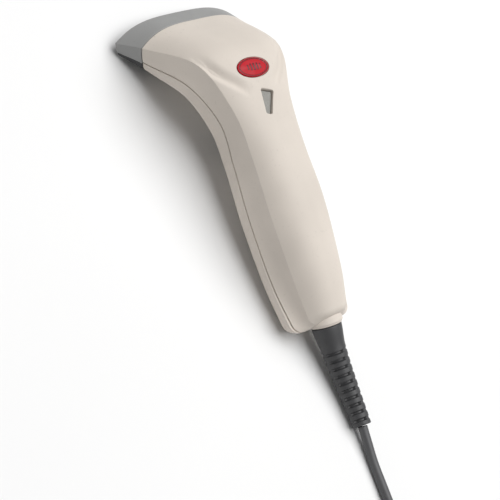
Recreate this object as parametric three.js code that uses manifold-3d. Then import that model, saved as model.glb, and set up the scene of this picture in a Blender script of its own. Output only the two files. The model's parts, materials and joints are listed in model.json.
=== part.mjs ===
// A handheld barcode scanner at its real size, in millimetres, +Z up. It lies face down: the nose's lower
// lip and the butt's lower edge touch Z = 0, +X runs from the butt to the nose, and its cable is coiled
// behind it.
// The casing is modelled in the handle's own frame: x up the handle from the butt, z out of its back.
import * as THREE from 'three';
import { mergeVertices } from 'three/addons/utils/BufferGeometryUtils.js';
import Module from 'manifold-3d';

const wasm = await Module();
wasm.setup();

// ---- Driving dimensions -------------------------------------------------------------------------

// Casing stations from butt to nose. x, z: the ridge line's place; lean: how far the section leans forward,
// in degrees; ridge: half width at the ridge; crown: rise above it; depth: drop to the underside; seam: half
// width at the parting line; drop: parting line below the ridge.
const STATIONS = [
  { x: 2.4, z: 8.3, lean: 4, ridge: 11.8, crown: 6.2, depth: 17.7, seam: 18, drop: 5.9 },
  { x: 27, z: 6.5, lean: 5.5, ridge: 14.6, crown: 8.4, depth: 22.3, seam: 19.6, drop: 10.5 },
  { x: 58, z: 3, lean: 8, ridge: 16.5, crown: 8.3, depth: 25, seam: 20, drop: 12.2 },
  { x: 84, z: -1.5, lean: 10, ridge: 15.8, crown: 7.1, depth: 25.6, seam: 18.4, drop: 12.2 },
  { x: 106, z: -5.5, lean: 16, ridge: 17, crown: 4.6, depth: 26.9, seam: 19.1, drop: 10.7 },
  { x: 130, z: -14, lean: 41, ridge: 24.4, crown: 5.4, depth: 23.8, seam: 26.8, drop: 11.7 },
  { x: 142, z: -41.5, lean: 64, ridge: 30.6, crown: 8.3, depth: 15, seam: 30.2, drop: 7.5 },
  { x: 148, z: -57.5, lean: 69.4, ridge: 36.2, crown: 8.8, depth: 8.7, seam: 35.2, drop: 4 },
];
const CROWN_POWER = 4;        // flatness of the back, 2 is a parabola
const BELLY_POWER = 3.2;      // squareness of the underside
const WALL = 2.2;             // casing wall
const GAP = 0.3;              // clearance between neighbouring pieces
const BUTT_ROUND = 4.5;       // edge rounding at the butt
const NOSE_ROUND = 1.2;       // edge rounding at the nose
const FRONT_WALL = 2.5;       // bumper wall in front of the window
const BUMPER_LENGTH = 14.5;   // nose bumper, back from the front face

const REST_PITCH = 20.5;      // degrees the handle leans up from the surface it rests on
const FOOT_TRIM = 0.35;       // depth of the small flats that the scanner rests on

const SCREW = {
  boss: 4, counterbore: 3.1, clear: 1.7, head: 2.6, headTall: 1.8, shank: 1.2, length: 8, point: 1.2,
};
const BUTT_SCREW = { x: 12, y: 11.5, z: -8.2 };      // under its head, in the handle's frame
const HEAD_SCREW = { x: -27, y: 22.5, z: -12.6 };    // the same, in the nose's frame
const BOOT = {
  up: -3.7, root: 7.2, waist: 6, tip: 4.4, neck: 5, flange: 6.6,
  length: 50, smooth: 12, ribs: 10, groove: 0.9,
};
const CABLE_R = 2.25;
const INNER_LEAD_R = 1.9;
const COIL = { distance: 75, turn: 24, columns: 3, layers: 4 };
const USB = { grip: 22, gripWide: 14.5, gripTall: 7.6, shell: 13, shellWide: 12, shellTall: 4.5 };

const BOARD = { x: 62, z: -9.9, tilt: 8.9, length: 84, width: 30, thick: 1.6 };
const BADGE = { at: 0.66, across: 1, length: 17.4, width: 9.2, turn: -4, sunk: 0.9, proud: 0.4 };
const STATUS = {
  from: 0.54, to: 0.606, wide: 6.2, narrow: 2.4, across: 0, turn: -20, sunk: 0.8, thick: 1.9,
};
const TRIGGER = {
  from: 0.475, to: 0.635, width: 16, proud: 1.8, sunk: 2.4, pin: 1.1, pinUp: 5.8, pinIn: 0.026, reach: 10,
};
const REST_X = -57.82;         // puts the origin under the middle of the scanner without its cable

// ---- Solid helpers ------------------------------------------------------------------------------

function solidOf(geometry) {
  const bare = geometry.clone();
  for (const name of Object.keys(bare.attributes)) {
    if (name !== 'position') bare.deleteAttribute(name);
  }
  const merged = mergeVertices(bare, 1e-4);
  const mesh = new wasm.Mesh({
    numProp: 3,
    vertProperties: merged.attributes.position.array,
    triVerts: new Uint32Array(merged.index.array),
  });
  return new wasm.Manifold(mesh);
}

function geometryOf(solid) {
  const mesh = solid.getMesh();
  const geometry = new THREE.BufferGeometry();
  geometry.setAttribute('position', new THREE.BufferAttribute(new Float32Array(mesh.vertProperties), 3));
  geometry.setIndex(Array.from(mesh.triVerts));
  geometry.computeVertexNormals();
  return geometry;
}

const cut = (base, ...tools) => tools.reduce((solid, tool) => solid.subtract(solidOf(tool)), base);
const join = (base, ...more) => more.reduce((solid, piece) => solid.add(solidOf(piece)), base);

function box(length, width, height, x = 0, y = 0, z = 0) {
  return new THREE.BoxGeometry(length, width, height).translate(x, y, z);
}

// A cylinder along X, Y or Z, centred on a point.
function rod(radius, length, axis = 'z', x = 0, y = 0, z = 0, sides = 24) {
  const geometry = new THREE.CylinderGeometry(radius, radius, length, sides);
  if (axis === 'z') geometry.rotateX(Math.PI / 2);
  if (axis === 'x') geometry.rotateZ(Math.PI / 2);
  return geometry.translate(x, y, z);
}

// A profile in the X-Z plane, extruded along Y about the middle.
function slabY(points, width, bevel = 0) {
  const shape = new THREE.Shape(points);
  const options = {
    depth: width - 2 * bevel, bevelEnabled: bevel > 0, bevelSize: bevel,
    bevelThickness: bevel, bevelOffset: -bevel, bevelSegments: 2, steps: 1,
  };
  const geometry = new THREE.ExtrudeGeometry(shape, options);
  return geometry.translate(0, 0, bevel - width / 2).rotateX(Math.PI / 2);
}

// A rounded rectangle across Y and Z, extruded along +X from x = 0.
function roundedPlate(width, height, corner, thick) {
  const w = width / 2;
  const h = height / 2;
  const shape = new THREE.Shape();
  shape.moveTo(-w + corner, -h);
  shape.lineTo(w - corner, -h).absarc(w - corner, -h + corner, corner, -Math.PI / 2, 0);
  shape.lineTo(w, h - corner).absarc(w - corner, h - corner, corner, 0, Math.PI / 2);
  shape.lineTo(-w + corner, h).absarc(-w + corner, h - corner, corner, Math.PI / 2, Math.PI);
  shape.lineTo(-w, -h + corner).absarc(-w + corner, -h + corner, corner, Math.PI, Math.PI * 1.5);
  const geometry = new THREE.ExtrudeGeometry(shape, { depth: thick, bevelEnabled: false, curveSegments: 4 });
  const basis = new THREE.Matrix4().set(0, 0, 1, 0, 1, 0, 0, 0, 0, 1, 0, 0, 0, 0, 0, 1);
  return geometry.applyMatrix4(basis);
}

// A closed tube of round section along a smooth path through points.
function tube(points, radius, steps, sides) {
  const section = new THREE.Shape();
  for (let k = 0; k < sides; k++) {
    const turn = 2 * Math.PI * k / sides;
    const p = [radius * Math.cos(turn), radius * Math.sin(turn)];
    if (k === 0) section.moveTo(...p);
    else section.lineTo(...p);
  }
  const extrudePath = new THREE.CatmullRomCurve3(points);
  return new THREE.ExtrudeGeometry(section, { steps, extrudePath, bevelEnabled: false });
}

// Rings of equal length, joined into one closed body with fans over both ends.
function loft(rings) {
  const count = rings[0].length;
  const points = rings.flat();
  const index = [];
  for (let r = 0; r + 1 < rings.length; r++) {
    for (let k = 0; k < count; k++) {
      const a = r * count + k;
      const b = r * count + (k + 1) % count;
      index.push(a, b, a + count, b, b + count, a + count);
    }
  }
  for (const r of [0, rings.length - 1]) {
    const middle = rings[r].reduce((sum, p) => sum.add(p), new THREE.Vector3()).divideScalar(count);
    const centre = points.push(middle) - 1;
    for (let k = 0; k < count; k++) {
      const a = r * count + k;
      const b = r * count + (k + 1) % count;
      if (r === 0) index.push(centre, b, a);
      else index.push(centre, a, b);
    }
  }
  const geometry = new THREE.BufferGeometry().setFromPoints(points);
  geometry.setIndex(facesOut(points, index) ? index : index.reverse());
  geometry.computeVertexNormals();
  return geometry;
}

function facesOut(points, index) {
  let volume = 0;
  const cross = new THREE.Vector3();
  for (let i = 0; i < index.length; i += 3) {
    cross.crossVectors(points[index[i + 1]], points[index[i + 2]]);
    volume += points[index[i]].dot(cross);
  }
  return volume > 0;
}

// ---- Casing surface -----------------------------------------------------------------------------

const KEYS = Object.keys(STATIONS[0]);

// How much of along a length takes up, between one station and the next.
function alongFor(length, index) {
  const a = STATIONS[index];
  const b = STATIONS[index + 1];
  return length / Math.hypot(b.x - a.x, b.z - a.z) / (STATIONS.length - 1);
}

// Stations blended by a Catmull-Rom spline; along runs from 0 at the butt to 1 at the nose.
function station(along) {
  const last = STATIONS.length - 1;
  const place = THREE.MathUtils.clamp(along, 0, 1) * last;
  const i = Math.min(Math.floor(place), last - 1);
  const f = place - i;
  const value = {};
  for (const key of KEYS) {
    const b = STATIONS[i][key];
    const c = STATIONS[i + 1][key];
    const a = i > 0 ? STATIONS[i - 1][key] : 2 * b - c;
    const d = i + 2 <= last ? STATIONS[i + 2][key] : 2 * c - b;
    const straight = (c - a) * f;
    const bend = (2 * a - 5 * b + 4 * c - d) * f * f;
    const twist = (3 * b - a - 3 * c + d) * f ** 3;
    value[key] = 0.5 * (2 * b + straight + bend + twist);
  }
  value.tx = Math.cos(THREE.MathUtils.degToRad(value.lean));
  value.tz = -Math.sin(THREE.MathUtils.degToRad(value.lean));
  return value;
}

// A point in the section at a station: across it, and up from the ridge, moved along the handle by ahead.
function spot(s, across, up, ahead = 0) {
  return new THREE.Vector3(s.x - s.tz * up + s.tx * ahead, across, s.z + s.tx * up + s.tz * ahead);
}

// The section's outline, shrunk by inset: over the crown, down one side, round the belly and up the other.
function outline(s, inset, detail) {
  const ridge = s.ridge - inset;
  const crown = s.crown - inset;
  const seam = s.seam - inset;
  const belly = s.depth - inset - s.drop;
  const points = [];
  for (let k = 0; k <= detail.top; k++) {
    const f = 2 * k / detail.top - 1;
    const across = Math.sign(f) * Math.abs(f) ** 0.8;
    points.push([ridge * across, crown * (1 - Math.abs(across) ** CROWN_POWER)]);
  }
  for (let k = 1; k <= detail.side; k++) {
    const f = k / detail.side;
    points.push([ridge + (seam - ridge) * f, -s.drop * f]);
  }
  for (let k = 1; k < detail.belly; k++) {
    const turn = Math.PI * k / detail.belly;
    const wide = Math.sign(Math.cos(turn)) * Math.abs(Math.cos(turn)) ** (2 / BELLY_POWER);
    points.push([seam * wide, -s.drop - belly * Math.sin(turn) ** (2 / BELLY_POWER)]);
  }
  for (let k = detail.side; k >= 1; k--) {
    const f = k / detail.side;
    points.push([-ridge - (seam - ridge) * f, -s.drop * f]);
  }
  return points;
}

const OUTER_DETAIL = { top: 10, side: 2, belly: 10 };
const INNER_DETAIL = { top: 8, side: 1, belly: 8 };

function casing(inset, detail, steps, buttRound, noseRound, buttAt, noseAt) {
  const rings = [];
  const ring = (along, shrink, ahead) => {
    const s = station(along);
    rings.push(outline(s, inset + shrink, detail).map(([across, up]) => spot(s, across, up, ahead)));
  };
  const rounding = [0, 0.3, 0.65];
  for (const f of buttRound > 0 ? rounding : []) {
    const turn = f * Math.PI / 2;
    ring(buttAt, buttRound * (1 - Math.sin(turn)), buttRound * (1 - Math.cos(turn)));
  }
  const first = buttAt + alongFor(buttRound, 0);
  for (let k = 0; k <= steps; k++) ring(first + (noseAt - first) * k / steps, 0, 0);
  if (noseRound > 0) ring(noseAt, noseRound, noseRound * 0.7);
  return loft(rings);
}

// ---- Frames -------------------------------------------------------------------------------------

// A matrix whose x runs ahead along the section's normal, y across and z up from the ridge, at a spot.
function sectionFrame(s, across = 0, up = 0, turn = 0) {
  const ahead = new THREE.Vector3(s.tx, 0, s.tz);
  const rise = new THREE.Vector3(-s.tz, 0, s.tx);
  const matrix = new THREE.Matrix4().makeBasis(ahead, new THREE.Vector3(0, 1, 0), rise);
  matrix.setPosition(spot(s, across, up));
  return matrix.multiply(new THREE.Matrix4().makeRotationZ(THREE.MathUtils.degToRad(turn)));
}

const buttFrame = sectionFrame(station(0), 0, BOOT.up);
const noseFrame = sectionFrame(station(1));
const badgeStation = station(BADGE.at);
const badgeFrame = sectionFrame(badgeStation, BADGE.across, badgeStation.crown, BADGE.turn);
const statusStation = station((STATUS.from + STATUS.to) / 2);
const statusFrame = sectionFrame(statusStation, STATUS.across, statusStation.crown, STATUS.turn);
const boardFrame = new THREE.Matrix4().makeRotationY(THREE.MathUtils.degToRad(BOARD.tilt));
boardFrame.setPosition(BOARD.x, 0, BOARD.z);

const framed = (geometry, frame) => geometry.applyMatrix4(frame);

// ---- Scene and materials ------------------------------------------------------------------------

function surface(color, roughness, metalness) {
  return new THREE.MeshStandardMaterial({ color, roughness, metalness });
}
const plastic = (color, roughness = 0.45) => surface(color, roughness, 0);
const metal = (color, roughness = 0.3) => surface(color, roughness, 1);

const MATERIALS = {
  casing: plastic(0xd9d2c8),
  bumper: plastic(0x8d8f92, 0.5),
  window: plastic(0x5a1014, 0.1),
  gasket: plastic(0x202022, 0.8),
  trigger: plastic(0x55585c, 0.5),
  pin: metal(0xb8babd),
  lens: plastic(0x8a8a86, 0.15),
  badge: plastic(0xc8283a, 0.25),
  boot: plastic(0x3e3e40, 0.6),
  cable: plastic(0x55565a, 0.55),
  board: plastic(0x1f5a34, 0.5),
  chip: plastic(0x1a1a1c, 0.4),
  can: metal(0xc0c2c5, 0.25),
  black: plastic(0x26262a, 0.5),
  mirror: metal(0xe6e8ea, 0.05),
  led: plastic(0xd83030, 0.15),
  clear: plastic(0xe8e4e0, 0.2),
  screw: metal(0x9a9c9f),
  strap: plastic(0x1c1c1e, 0.9),
};

const scanner = new THREE.Group();
const handle = new THREE.Group();
scanner.add(handle);

// Adds a named mesh. A piece made about its own origin is placed by its frame.
function piece(name, geometry, material, parent = handle, frame = null) {
  const mesh = new THREE.Mesh(geometry, MATERIALS[material]);
  mesh.name = name;
  if (frame) mesh.applyMatrix4(frame);
  parent.add(mesh);
  return mesh;
}

const shift = (frame, x, y, z) => frame.clone().multiply(new THREE.Matrix4().makeTranslation(x, y, z));

// ---- Casing -------------------------------------------------------------------------------------

const FAR = 200;              // larger than the casing, for cutting tools
const noseBack = 1 - alongFor(FRONT_WALL, STATIONS.length - 2);
const buttInside = alongFor(WALL + GAP, 0);
const skin = casing(0, OUTER_DETAIL, 26, BUTT_ROUND, NOSE_ROUND, 0, 1);
const hollow = solidOf(casing(WALL, INNER_DETAIL, 16, 0, 0, buttInside, noseBack));

// Where the underside rests: lowest points of the turned casing, less the trim that makes the feet flat.
const pitch = THREE.MathUtils.degToRad(REST_PITCH);
const lowest = skin.clone().rotateY(-pitch);
lowest.computeBoundingBox();
const floorZ = lowest.boundingBox.min.z + FOOT_TRIM;
const floor = box(2 * FAR, FAR, FAR, 0, 0, floorZ - FAR / 2).rotateY(pitch);

// Everything under the parting line, moved down by a clearance.
function underSeam(clearance) {
  const points = [];
  const STEPS = 28;
  for (let k = -1; k <= STEPS + 1; k++) {
    const s = station(k / STEPS);
    const beyond = k < 0 ? -15 : k > STEPS ? 15 : 0;
    const p = spot(s, 0, -s.drop - clearance, beyond);
    points.push(new THREE.Vector2(p.x, p.z));
  }
  points.push(new THREE.Vector2(points.at(-1).x, -FAR), new THREE.Vector2(points[0].x, -FAR));
  return slabY(points, FAR);
}

// The room in front of the bumper's joint, moved by a clearance.
const bumperRoom = (clearance) => framed(
  box(FAR, FAR, 80, FAR / 2 - BUMPER_LENGTH + clearance, 0, 0), noseFrame);

// Screw places: two by the butt along the handle's z, two in the head along the nose's z.
const screwFrames = [];
for (const side of [-1, 1]) {
  screwFrames.push(new THREE.Matrix4().makeTranslation(BUTT_SCREW.x, BUTT_SCREW.y * side, BUTT_SCREW.z));
  screwFrames.push(shift(noseFrame, HEAD_SCREW.x, HEAD_SCREW.y * side, HEAD_SCREW.z));
}

function bosses() {
  const shafts = screwFrames.map((frame) => framed(rod(SCREW.boss, 40, 'z', 0, 0, 6, 20), frame));
  return shafts.map((shaft) => solidOf(shaft).intersect(solidOf(skin)));
}

const collar = framed(rod(BOOT.root + 0.4, 7, 'x', 3, 0, 0, 32), buttFrame);
let body = join(solidOf(skin), collar).subtract(hollow);
for (const boss of bosses()) body = body.add(boss);
body = cut(body, floor, framed(rod(BOOT.neck + GAP, 14, 'x', 0, 0, 0, 28), buttFrame));
for (const frame of screwFrames) {
  body = cut(body,
    framed(rod(SCREW.counterbore, 20, 'z', 0, 0, -10, 20), frame),
    framed(rod(SCREW.clear, 30, 'z', 0, 0, 0, 12), frame));
}

function wedge(grow, low, high) {
  const half = spot(station(STATUS.to), 0, 0).distanceTo(spot(station(STATUS.from), 0, 0)) / 2 + grow;
  const wide = STATUS.wide / 2 + grow;
  const narrow = STATUS.narrow / 2 + grow;
  const shape = new THREE.Shape([
    new THREE.Vector2(-half, -narrow), new THREE.Vector2(half, -wide),
    new THREE.Vector2(half, wide), new THREE.Vector2(-half, narrow)]);
  const geometry = new THREE.ExtrudeGeometry(shape, { depth: high - low, bevelEnabled: false });
  return geometry.translate(0, 0, low);
}

function oval(length, width, low, high) {
  return rod(1, high - low, 'z', 0, 0, (low + high) / 2, 36).scale(width / 2, length / 2, 1);
}

const badgeHole = oval(BADGE.length + 2 * GAP, BADGE.width + 2 * GAP, -BADGE.sunk - GAP, 6);
const upper = cut(body, underSeam(-GAP / 2), bumperRoom(-GAP / 2),
  framed(wedge(GAP, -8, 6), statusFrame), framed(badgeHole, badgeFrame));
piece('upper_shell', geometryOf(upper), 'casing');

// A point under the casing's middle line, standing out of the underside.
function underside(along, out) {
  const p = spot(station(along), 0, -station(along).depth - out);
  return new THREE.Vector2(p.x, p.z);
}

// The trigger's side view follows the underside: grown at its ends, out of the casing and into it.
function triggerProfile(grow, out, into) {
  const STEPS = 8;
  const slack = alongFor(grow, 3);
  const alongs = Array.from({ length: STEPS + 1 },
    (_, k) => TRIGGER.from - slack + (TRIGGER.to - TRIGGER.from + 2 * slack) * k / STEPS);
  return [...alongs.map((a) => underside(a, out)), ...alongs.reverse().map((a) => underside(a, -into))];
}

const SLOT_GAP = 0.6;
const triggerSlot = slabY(triggerProfile(SLOT_GAP, 6, 7), TRIGGER.width + 2 * SLOT_GAP);
const lower = cut(body.intersect(solidOf(underSeam(GAP / 2))), bumperRoom(-GAP / 2), triggerSlot);
piece('lower_shell', geometryOf(lower), 'casing');

// ---- Nose ---------------------------------------------------------------------------------------

const WINDOW = { wide: 52, tall: 7, corner: 2.5, lap: 2, thick: 1.5, z: -0.6 };
const windowTool = roundedPlate(WINDOW.wide, WINDOW.tall, WINDOW.corner, 12);
const windowHole = framed(windowTool.translate(-6, 0, WINDOW.z), noseFrame);
const bumper = cut(body.intersect(solidOf(bumperRoom(GAP / 2))), windowHole);
piece('nose_bumper', geometryOf(bumper), 'bumper');

const paneWide = WINDOW.wide + 2 * WINDOW.lap;
const paneTall = WINDOW.tall + WINDOW.lap - 0.3;
const paneX = -FRONT_WALL - GAP - WINDOW.thick;
piece('scan_window', roundedPlate(paneWide, paneTall, 3, WINDOW.thick), 'window', handle,
  shift(noseFrame, paneX, 0, WINDOW.z));
const gasketRing = cut(
  solidOf(roundedPlate(paneWide - 1, paneTall - 0.8, 2.6, 1)),
  roundedPlate(paneWide - 4, paneTall - 3.6, 1.8, 3).translate(-1, 0, 0));
piece('window_gasket', geometryOf(gasketRing), 'gasket', handle,
  shift(noseFrame, paneX - GAP - 1, 0, WINDOW.z));

// ---- Trigger ------------------------------------------------------------------------------------

// The pin lies above the rear of the trigger; pressed, the trigger's tip swings up into the casing.
const pinStation = station(TRIGGER.from + TRIGGER.pinIn);
const pinPoint = spot(pinStation, 0, TRIGGER.pinUp - pinStation.depth);
const pinBoard = pinPoint.clone().applyMatrix4(boardFrame.clone().invert());
const PRESS_X = pinBoard.x + TRIGGER.reach;      // where the trigger meets the plunger, in the board's frame
const PRESS_Z = pinBoard.z + 0.6;

const plate = slabY(triggerProfile(0, TRIGGER.proud, TRIGGER.sunk), TRIGGER.width, 0.8);
const knuckle = rod(TRIGGER.pin + 1.6, TRIGGER.width - 4, 'y', pinPoint.x, 0, pinPoint.z, 20);
const knuckleWeb = box(3.2, TRIGGER.width - 4, 4, pinPoint.x, 0, pinPoint.z - 2.4);
const post = framed(box(2.6, 7, 6, PRESS_X, 0, PRESS_Z - 3), boardFrame);
const pinBore = rod(TRIGGER.pin + GAP, FAR, 'y', pinPoint.x, 0, pinPoint.z, 20);
piece('trigger', geometryOf(cut(join(solidOf(plate), knuckle, knuckleWeb, post), pinBore)), 'trigger');
piece('trigger_pin', rod(TRIGGER.pin, TRIGGER.width + 6, 'y', pinPoint.x, 0, pinPoint.z, 16), 'pin');

// ---- Badge and status window --------------------------------------------------------------------

const badgeDisc = join(
  solidOf(oval(BADGE.length, BADGE.width, -BADGE.sunk, BADGE.proud - 0.2)),
  oval(BADGE.length - 1, BADGE.width - 1, -BADGE.sunk, BADGE.proud));
piece('badge', geometryOf(badgeDisc), 'badge', handle, badgeFrame);
piece('status_lens', wedge(0, -STATUS.sunk - STATUS.thick, -STATUS.sunk), 'lens', handle, statusFrame);

// ---- Main board and what it carries -------------------------------------------------------------

const boardTop = BOARD.thick / 2 + GAP;

function onBoard(name, geometry, material, x, y, z = boardTop) {
  return piece(name, geometry, material, handle, shift(boardFrame, x, y, z));
}

// A box that stands on its own base, with its long edges chamfered.
function block(length, width, height, chamfer = 0.4) {
  const shape = new THREE.Shape();
  const w = width / 2;
  const h = height;
  shape.moveTo(-w, 0).lineTo(w, 0).lineTo(w, h - chamfer).lineTo(w - chamfer, h);
  shape.lineTo(chamfer - w, h).lineTo(-w, h - chamfer);
  const geometry = new THREE.ExtrudeGeometry(shape, { depth: length, bevelEnabled: false });
  const basis = new THREE.Matrix4().set(0, 0, 1, -length / 2, 1, 0, 0, 0, 0, 1, 0, 0, 0, 0, 0, 1);
  return geometry.applyMatrix4(basis);
}

piece('main_board', box(BOARD.length, BOARD.width, BOARD.thick), 'board', handle, boardFrame);
onBoard('decoder_chip', block(14, 14, 1.5), 'chip', -6, 0);
onBoard('memory_chip', block(8, 6, 1.2), 'chip', 11, -8);
const crystalCan = new THREE.CapsuleGeometry(1.9, 6, 3, 10).rotateZ(Math.PI / 2);
onBoard('crystal', crystalCan, 'can', 9, 6, boardTop + 1.9);
onBoard('capacitor', rod(3.1, 7.5, 'z', 0, 0, 3.75, 24), 'black', 20, 9);

const buzzerCan = cut(solidOf(rod(6, 5.4, 'z', 0, 0, 2.7, 32)), rod(1, 4, 'z', 0, 0, 5, 12));
onBoard('buzzer', geometryOf(buzzerCan), 'black', 25, -6);

const JACK = { length: 14, width: 13, height: 10.4, x: -34.5 };
const PLUG = { length: 12, width: 9.6, height: 6.6, lift: 1.9 };
const jackRoom = box(PLUG.length + 2, PLUG.width + 2 * GAP, PLUG.height + 2 * GAP,
  -JACK.length / 2 + PLUG.length / 2 - 2, 0, PLUG.lift + PLUG.height / 2);
const jack = cut(solidOf(block(JACK.length, JACK.width, JACK.height)), jackRoom);
onBoard('interface_jack', geometryOf(jack), 'black', JACK.x, 0);
const plugX = JACK.x - JACK.length / 2 + PLUG.length / 2 - 2;
const plugBody = block(PLUG.length, PLUG.width, PLUG.height);
onBoard('modular_plug', plugBody, 'clear', plugX, 0, boardTop + PLUG.lift);

const plugBack = plugX - PLUG.length / 2 - GAP;
const plugMiddle = boardTop + PLUG.lift + PLUG.height / 2;
const leadPoints = [
  new THREE.Vector3(5.4, 0, 0).applyMatrix4(buttFrame),
  new THREE.Vector3(8.5, 0, 0.4).applyMatrix4(buttFrame),
  new THREE.Vector3(plugBack - 2.7, 0, plugMiddle).applyMatrix4(boardFrame),
  new THREE.Vector3(plugBack, 0, plugMiddle).applyMatrix4(boardFrame),
];
piece('inner_lead', tube(leadPoints, INNER_LEAD_R, 8, 10), 'cable');

// The switch hangs under the board; its plunger reaches down to the trigger's post.
const switchTop = -BOARD.thick / 2 - GAP;
const SWITCH = { size: 6.2, tall: 4, bore: 1.8, deep: 1.7, stem: 1.5 };
const switchBody = cut(
  solidOf(box(SWITCH.size, SWITCH.size, SWITCH.tall, 0, 0, -SWITCH.tall / 2)),
  rod(SWITCH.bore, 2 * SWITCH.deep, 'z', 0, 0, -SWITCH.tall, 20));
onBoard('trigger_switch', geometryOf(switchBody), 'black', PRESS_X, 0, switchTop);
const stemTop = switchTop - SWITCH.tall + 0.4;
const stemLow = PRESS_Z + GAP;
onBoard('switch_plunger', rod(SWITCH.stem, stemTop - stemLow, 'z', 0, 0, (stemTop + stemLow) / 2, 20),
  'clear', PRESS_X, 0, 0);

const statusLedX = PRESS_X - 1;
onBoard('status_led', block(3.2, 1.6, 1.1, 0.2), 'clear', statusLedX, -0.5);
const pipeLow = new THREE.Vector3(statusLedX, -0.5, boardTop + 1.1 + 2 * GAP).applyMatrix4(boardFrame);
const pipeHigh = new THREE.Vector3(-0.5, 0, -STATUS.sunk - STATUS.thick - 1).applyMatrix4(statusFrame);
const pipeAxis = pipeHigh.clone().sub(pipeLow);
const pipe = rod(1.5, pipeAxis.length(), 'z', 0, 0, pipeAxis.length() / 2, 16);
const upright = new THREE.Vector3(0, 0, 1);
pipe.applyQuaternion(new THREE.Quaternion().setFromUnitVectors(upright, pipeAxis.normalize()));
piece('light_pipe', pipe.translate(...pipeLow), 'clear');

// ---- Reading optics, in the nose ----------------------------------------------------------------

function inNose(name, geometry, material, x, y, z) {
  return piece(name, geometry, material, handle, shift(noseFrame, x, y, z));
}

const LAMP = { x: -13, z: -5.2, spacing: 8, count: 6, radius: 1.4, tall: 3 };
inNose('led_board', box(1, 47, 5), 'board', LAMP.x - 1, 0, LAMP.z);
const lampBody = new THREE.CapsuleGeometry(LAMP.radius, LAMP.tall - LAMP.radius, 3, 8).rotateZ(Math.PI / 2);
for (let k = 0; k < LAMP.count; k++) {
  const y = LAMP.spacing * (k - (LAMP.count - 1) / 2);
  inNose(`led_${k + 1}`, lampBody.clone(), 'led', LAMP.x + LAMP.radius + 1.2, y, LAMP.z);
}
inNose('light_diffuser', block(1.4, 46, 3.4, 0.3), 'clear', LAMP.x + 6.2, 0, LAMP.z - 1.7);

const OPTICS = { x: -32, z: -4.2, length: 20, width: 33, height: 10.5, wall: 1.2 };
const opticsRoom = box(OPTICS.length - 2 * OPTICS.wall, OPTICS.width - 2 * OPTICS.wall, OPTICS.height,
  0, 0, OPTICS.wall);
const aperture = box(6, 13, 6, OPTICS.length / 2, 7, 0.4);
const chassis = cut(solidOf(box(OPTICS.length, OPTICS.width, OPTICS.height)), opticsRoom, aperture);
inNose('optics_chassis', geometryOf(chassis), 'black', OPTICS.x, 0, OPTICS.z);
const mirrorPlate = box(1, 15, 7.6).rotateZ(Math.PI / 4);
inNose('folding_mirror', mirrorPlate, 'mirror', OPTICS.x - 0.5, 7.5, OPTICS.z + 0.4);
const barrel = cut(solidOf(rod(3.4, 8, 'y', 0, 0, 0, 28)), rod(2.3, 3, 'y', 0, 4, 0, 20));
inNose('lens_barrel', geometryOf(barrel), 'chip', OPTICS.x - 0.5, -4, OPTICS.z + 0.4);
inNose('ccd_sensor', box(14, 1.6, 4.4), 'chip', OPTICS.x - 0.5, -10.4, OPTICS.z + 0.4);
inNose('sensor_board', box(16.4, 1.2, 8), 'board', OPTICS.x - 0.5, -12.4, OPTICS.z + 0.5);

// ---- Screws -------------------------------------------------------------------------------------

// A pan head below the origin, a shank with a point above it, and a cross recess in the head.
function screwBody() {
  const profile = [
    [0, -SCREW.headTall], [SCREW.head - 0.5, -SCREW.headTall], [SCREW.head, -SCREW.headTall + 0.5],
    [SCREW.head, -GAP], [SCREW.shank, -GAP], [SCREW.shank, SCREW.length], [0, SCREW.length + SCREW.point],
  ].map(([r, z]) => new THREE.Vector2(r, z));
  const turned = solidOf(new THREE.LatheGeometry(profile, 16).rotateX(Math.PI / 2));
  const slot = box(3, 0.7, 2, 0, 0, -SCREW.headTall);
  return geometryOf(cut(turned, slot, slot.clone().rotateZ(Math.PI / 2)));
}
screwFrames.forEach((frame, k) => piece(`screw_${k + 1}`, screwBody(), 'screw', handle, frame));

// ---- Place the handle on the surface ------------------------------------------------------------

handle.rotation.y = -pitch;
handle.position.set(REST_X, 0, -floorZ);
handle.updateMatrix();
const toRow = (frame) => new THREE.Matrix4().multiplyMatrices(handle.matrix, frame);

// ---- Strain relief ------------------------------------------------------------------------------

const buttRow = toRow(buttFrame);
const bootRoot = new THREE.Vector3(-0.8, 0, 0).applyMatrix4(buttRow);
const bootAhead = new THREE.Vector3(-1, 0, 0).transformDirection(buttRow);
const tipHeading = new THREE.Vector3(-1, Math.tan(THREE.MathUtils.degToRad(5)), 0).normalize();
const bootTip = new THREE.Vector3(bootRoot.x - BOOT.length + 1, 0, BOOT.tip + GAP);
const leaveRoot = bootRoot.clone().addScaledVector(bootAhead, 16);
const meetTip = bootTip.clone().addScaledVector(tipHeading, -20);
const bootPath = new THREE.CubicBezierCurve3(bootRoot, leaveRoot, meetTip, bootTip);

// The radius tapers along a smooth part, then along the ribs.
const ribStart = BOOT.smooth / BOOT.length;
function bootRadius(part) {
  if (part < ribStart) return THREE.MathUtils.lerp(BOOT.root, BOOT.waist, part / ribStart);
  return THREE.MathUtils.lerp(BOOT.waist, BOOT.tip, (part - ribStart) / (1 - ribStart));
}

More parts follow.
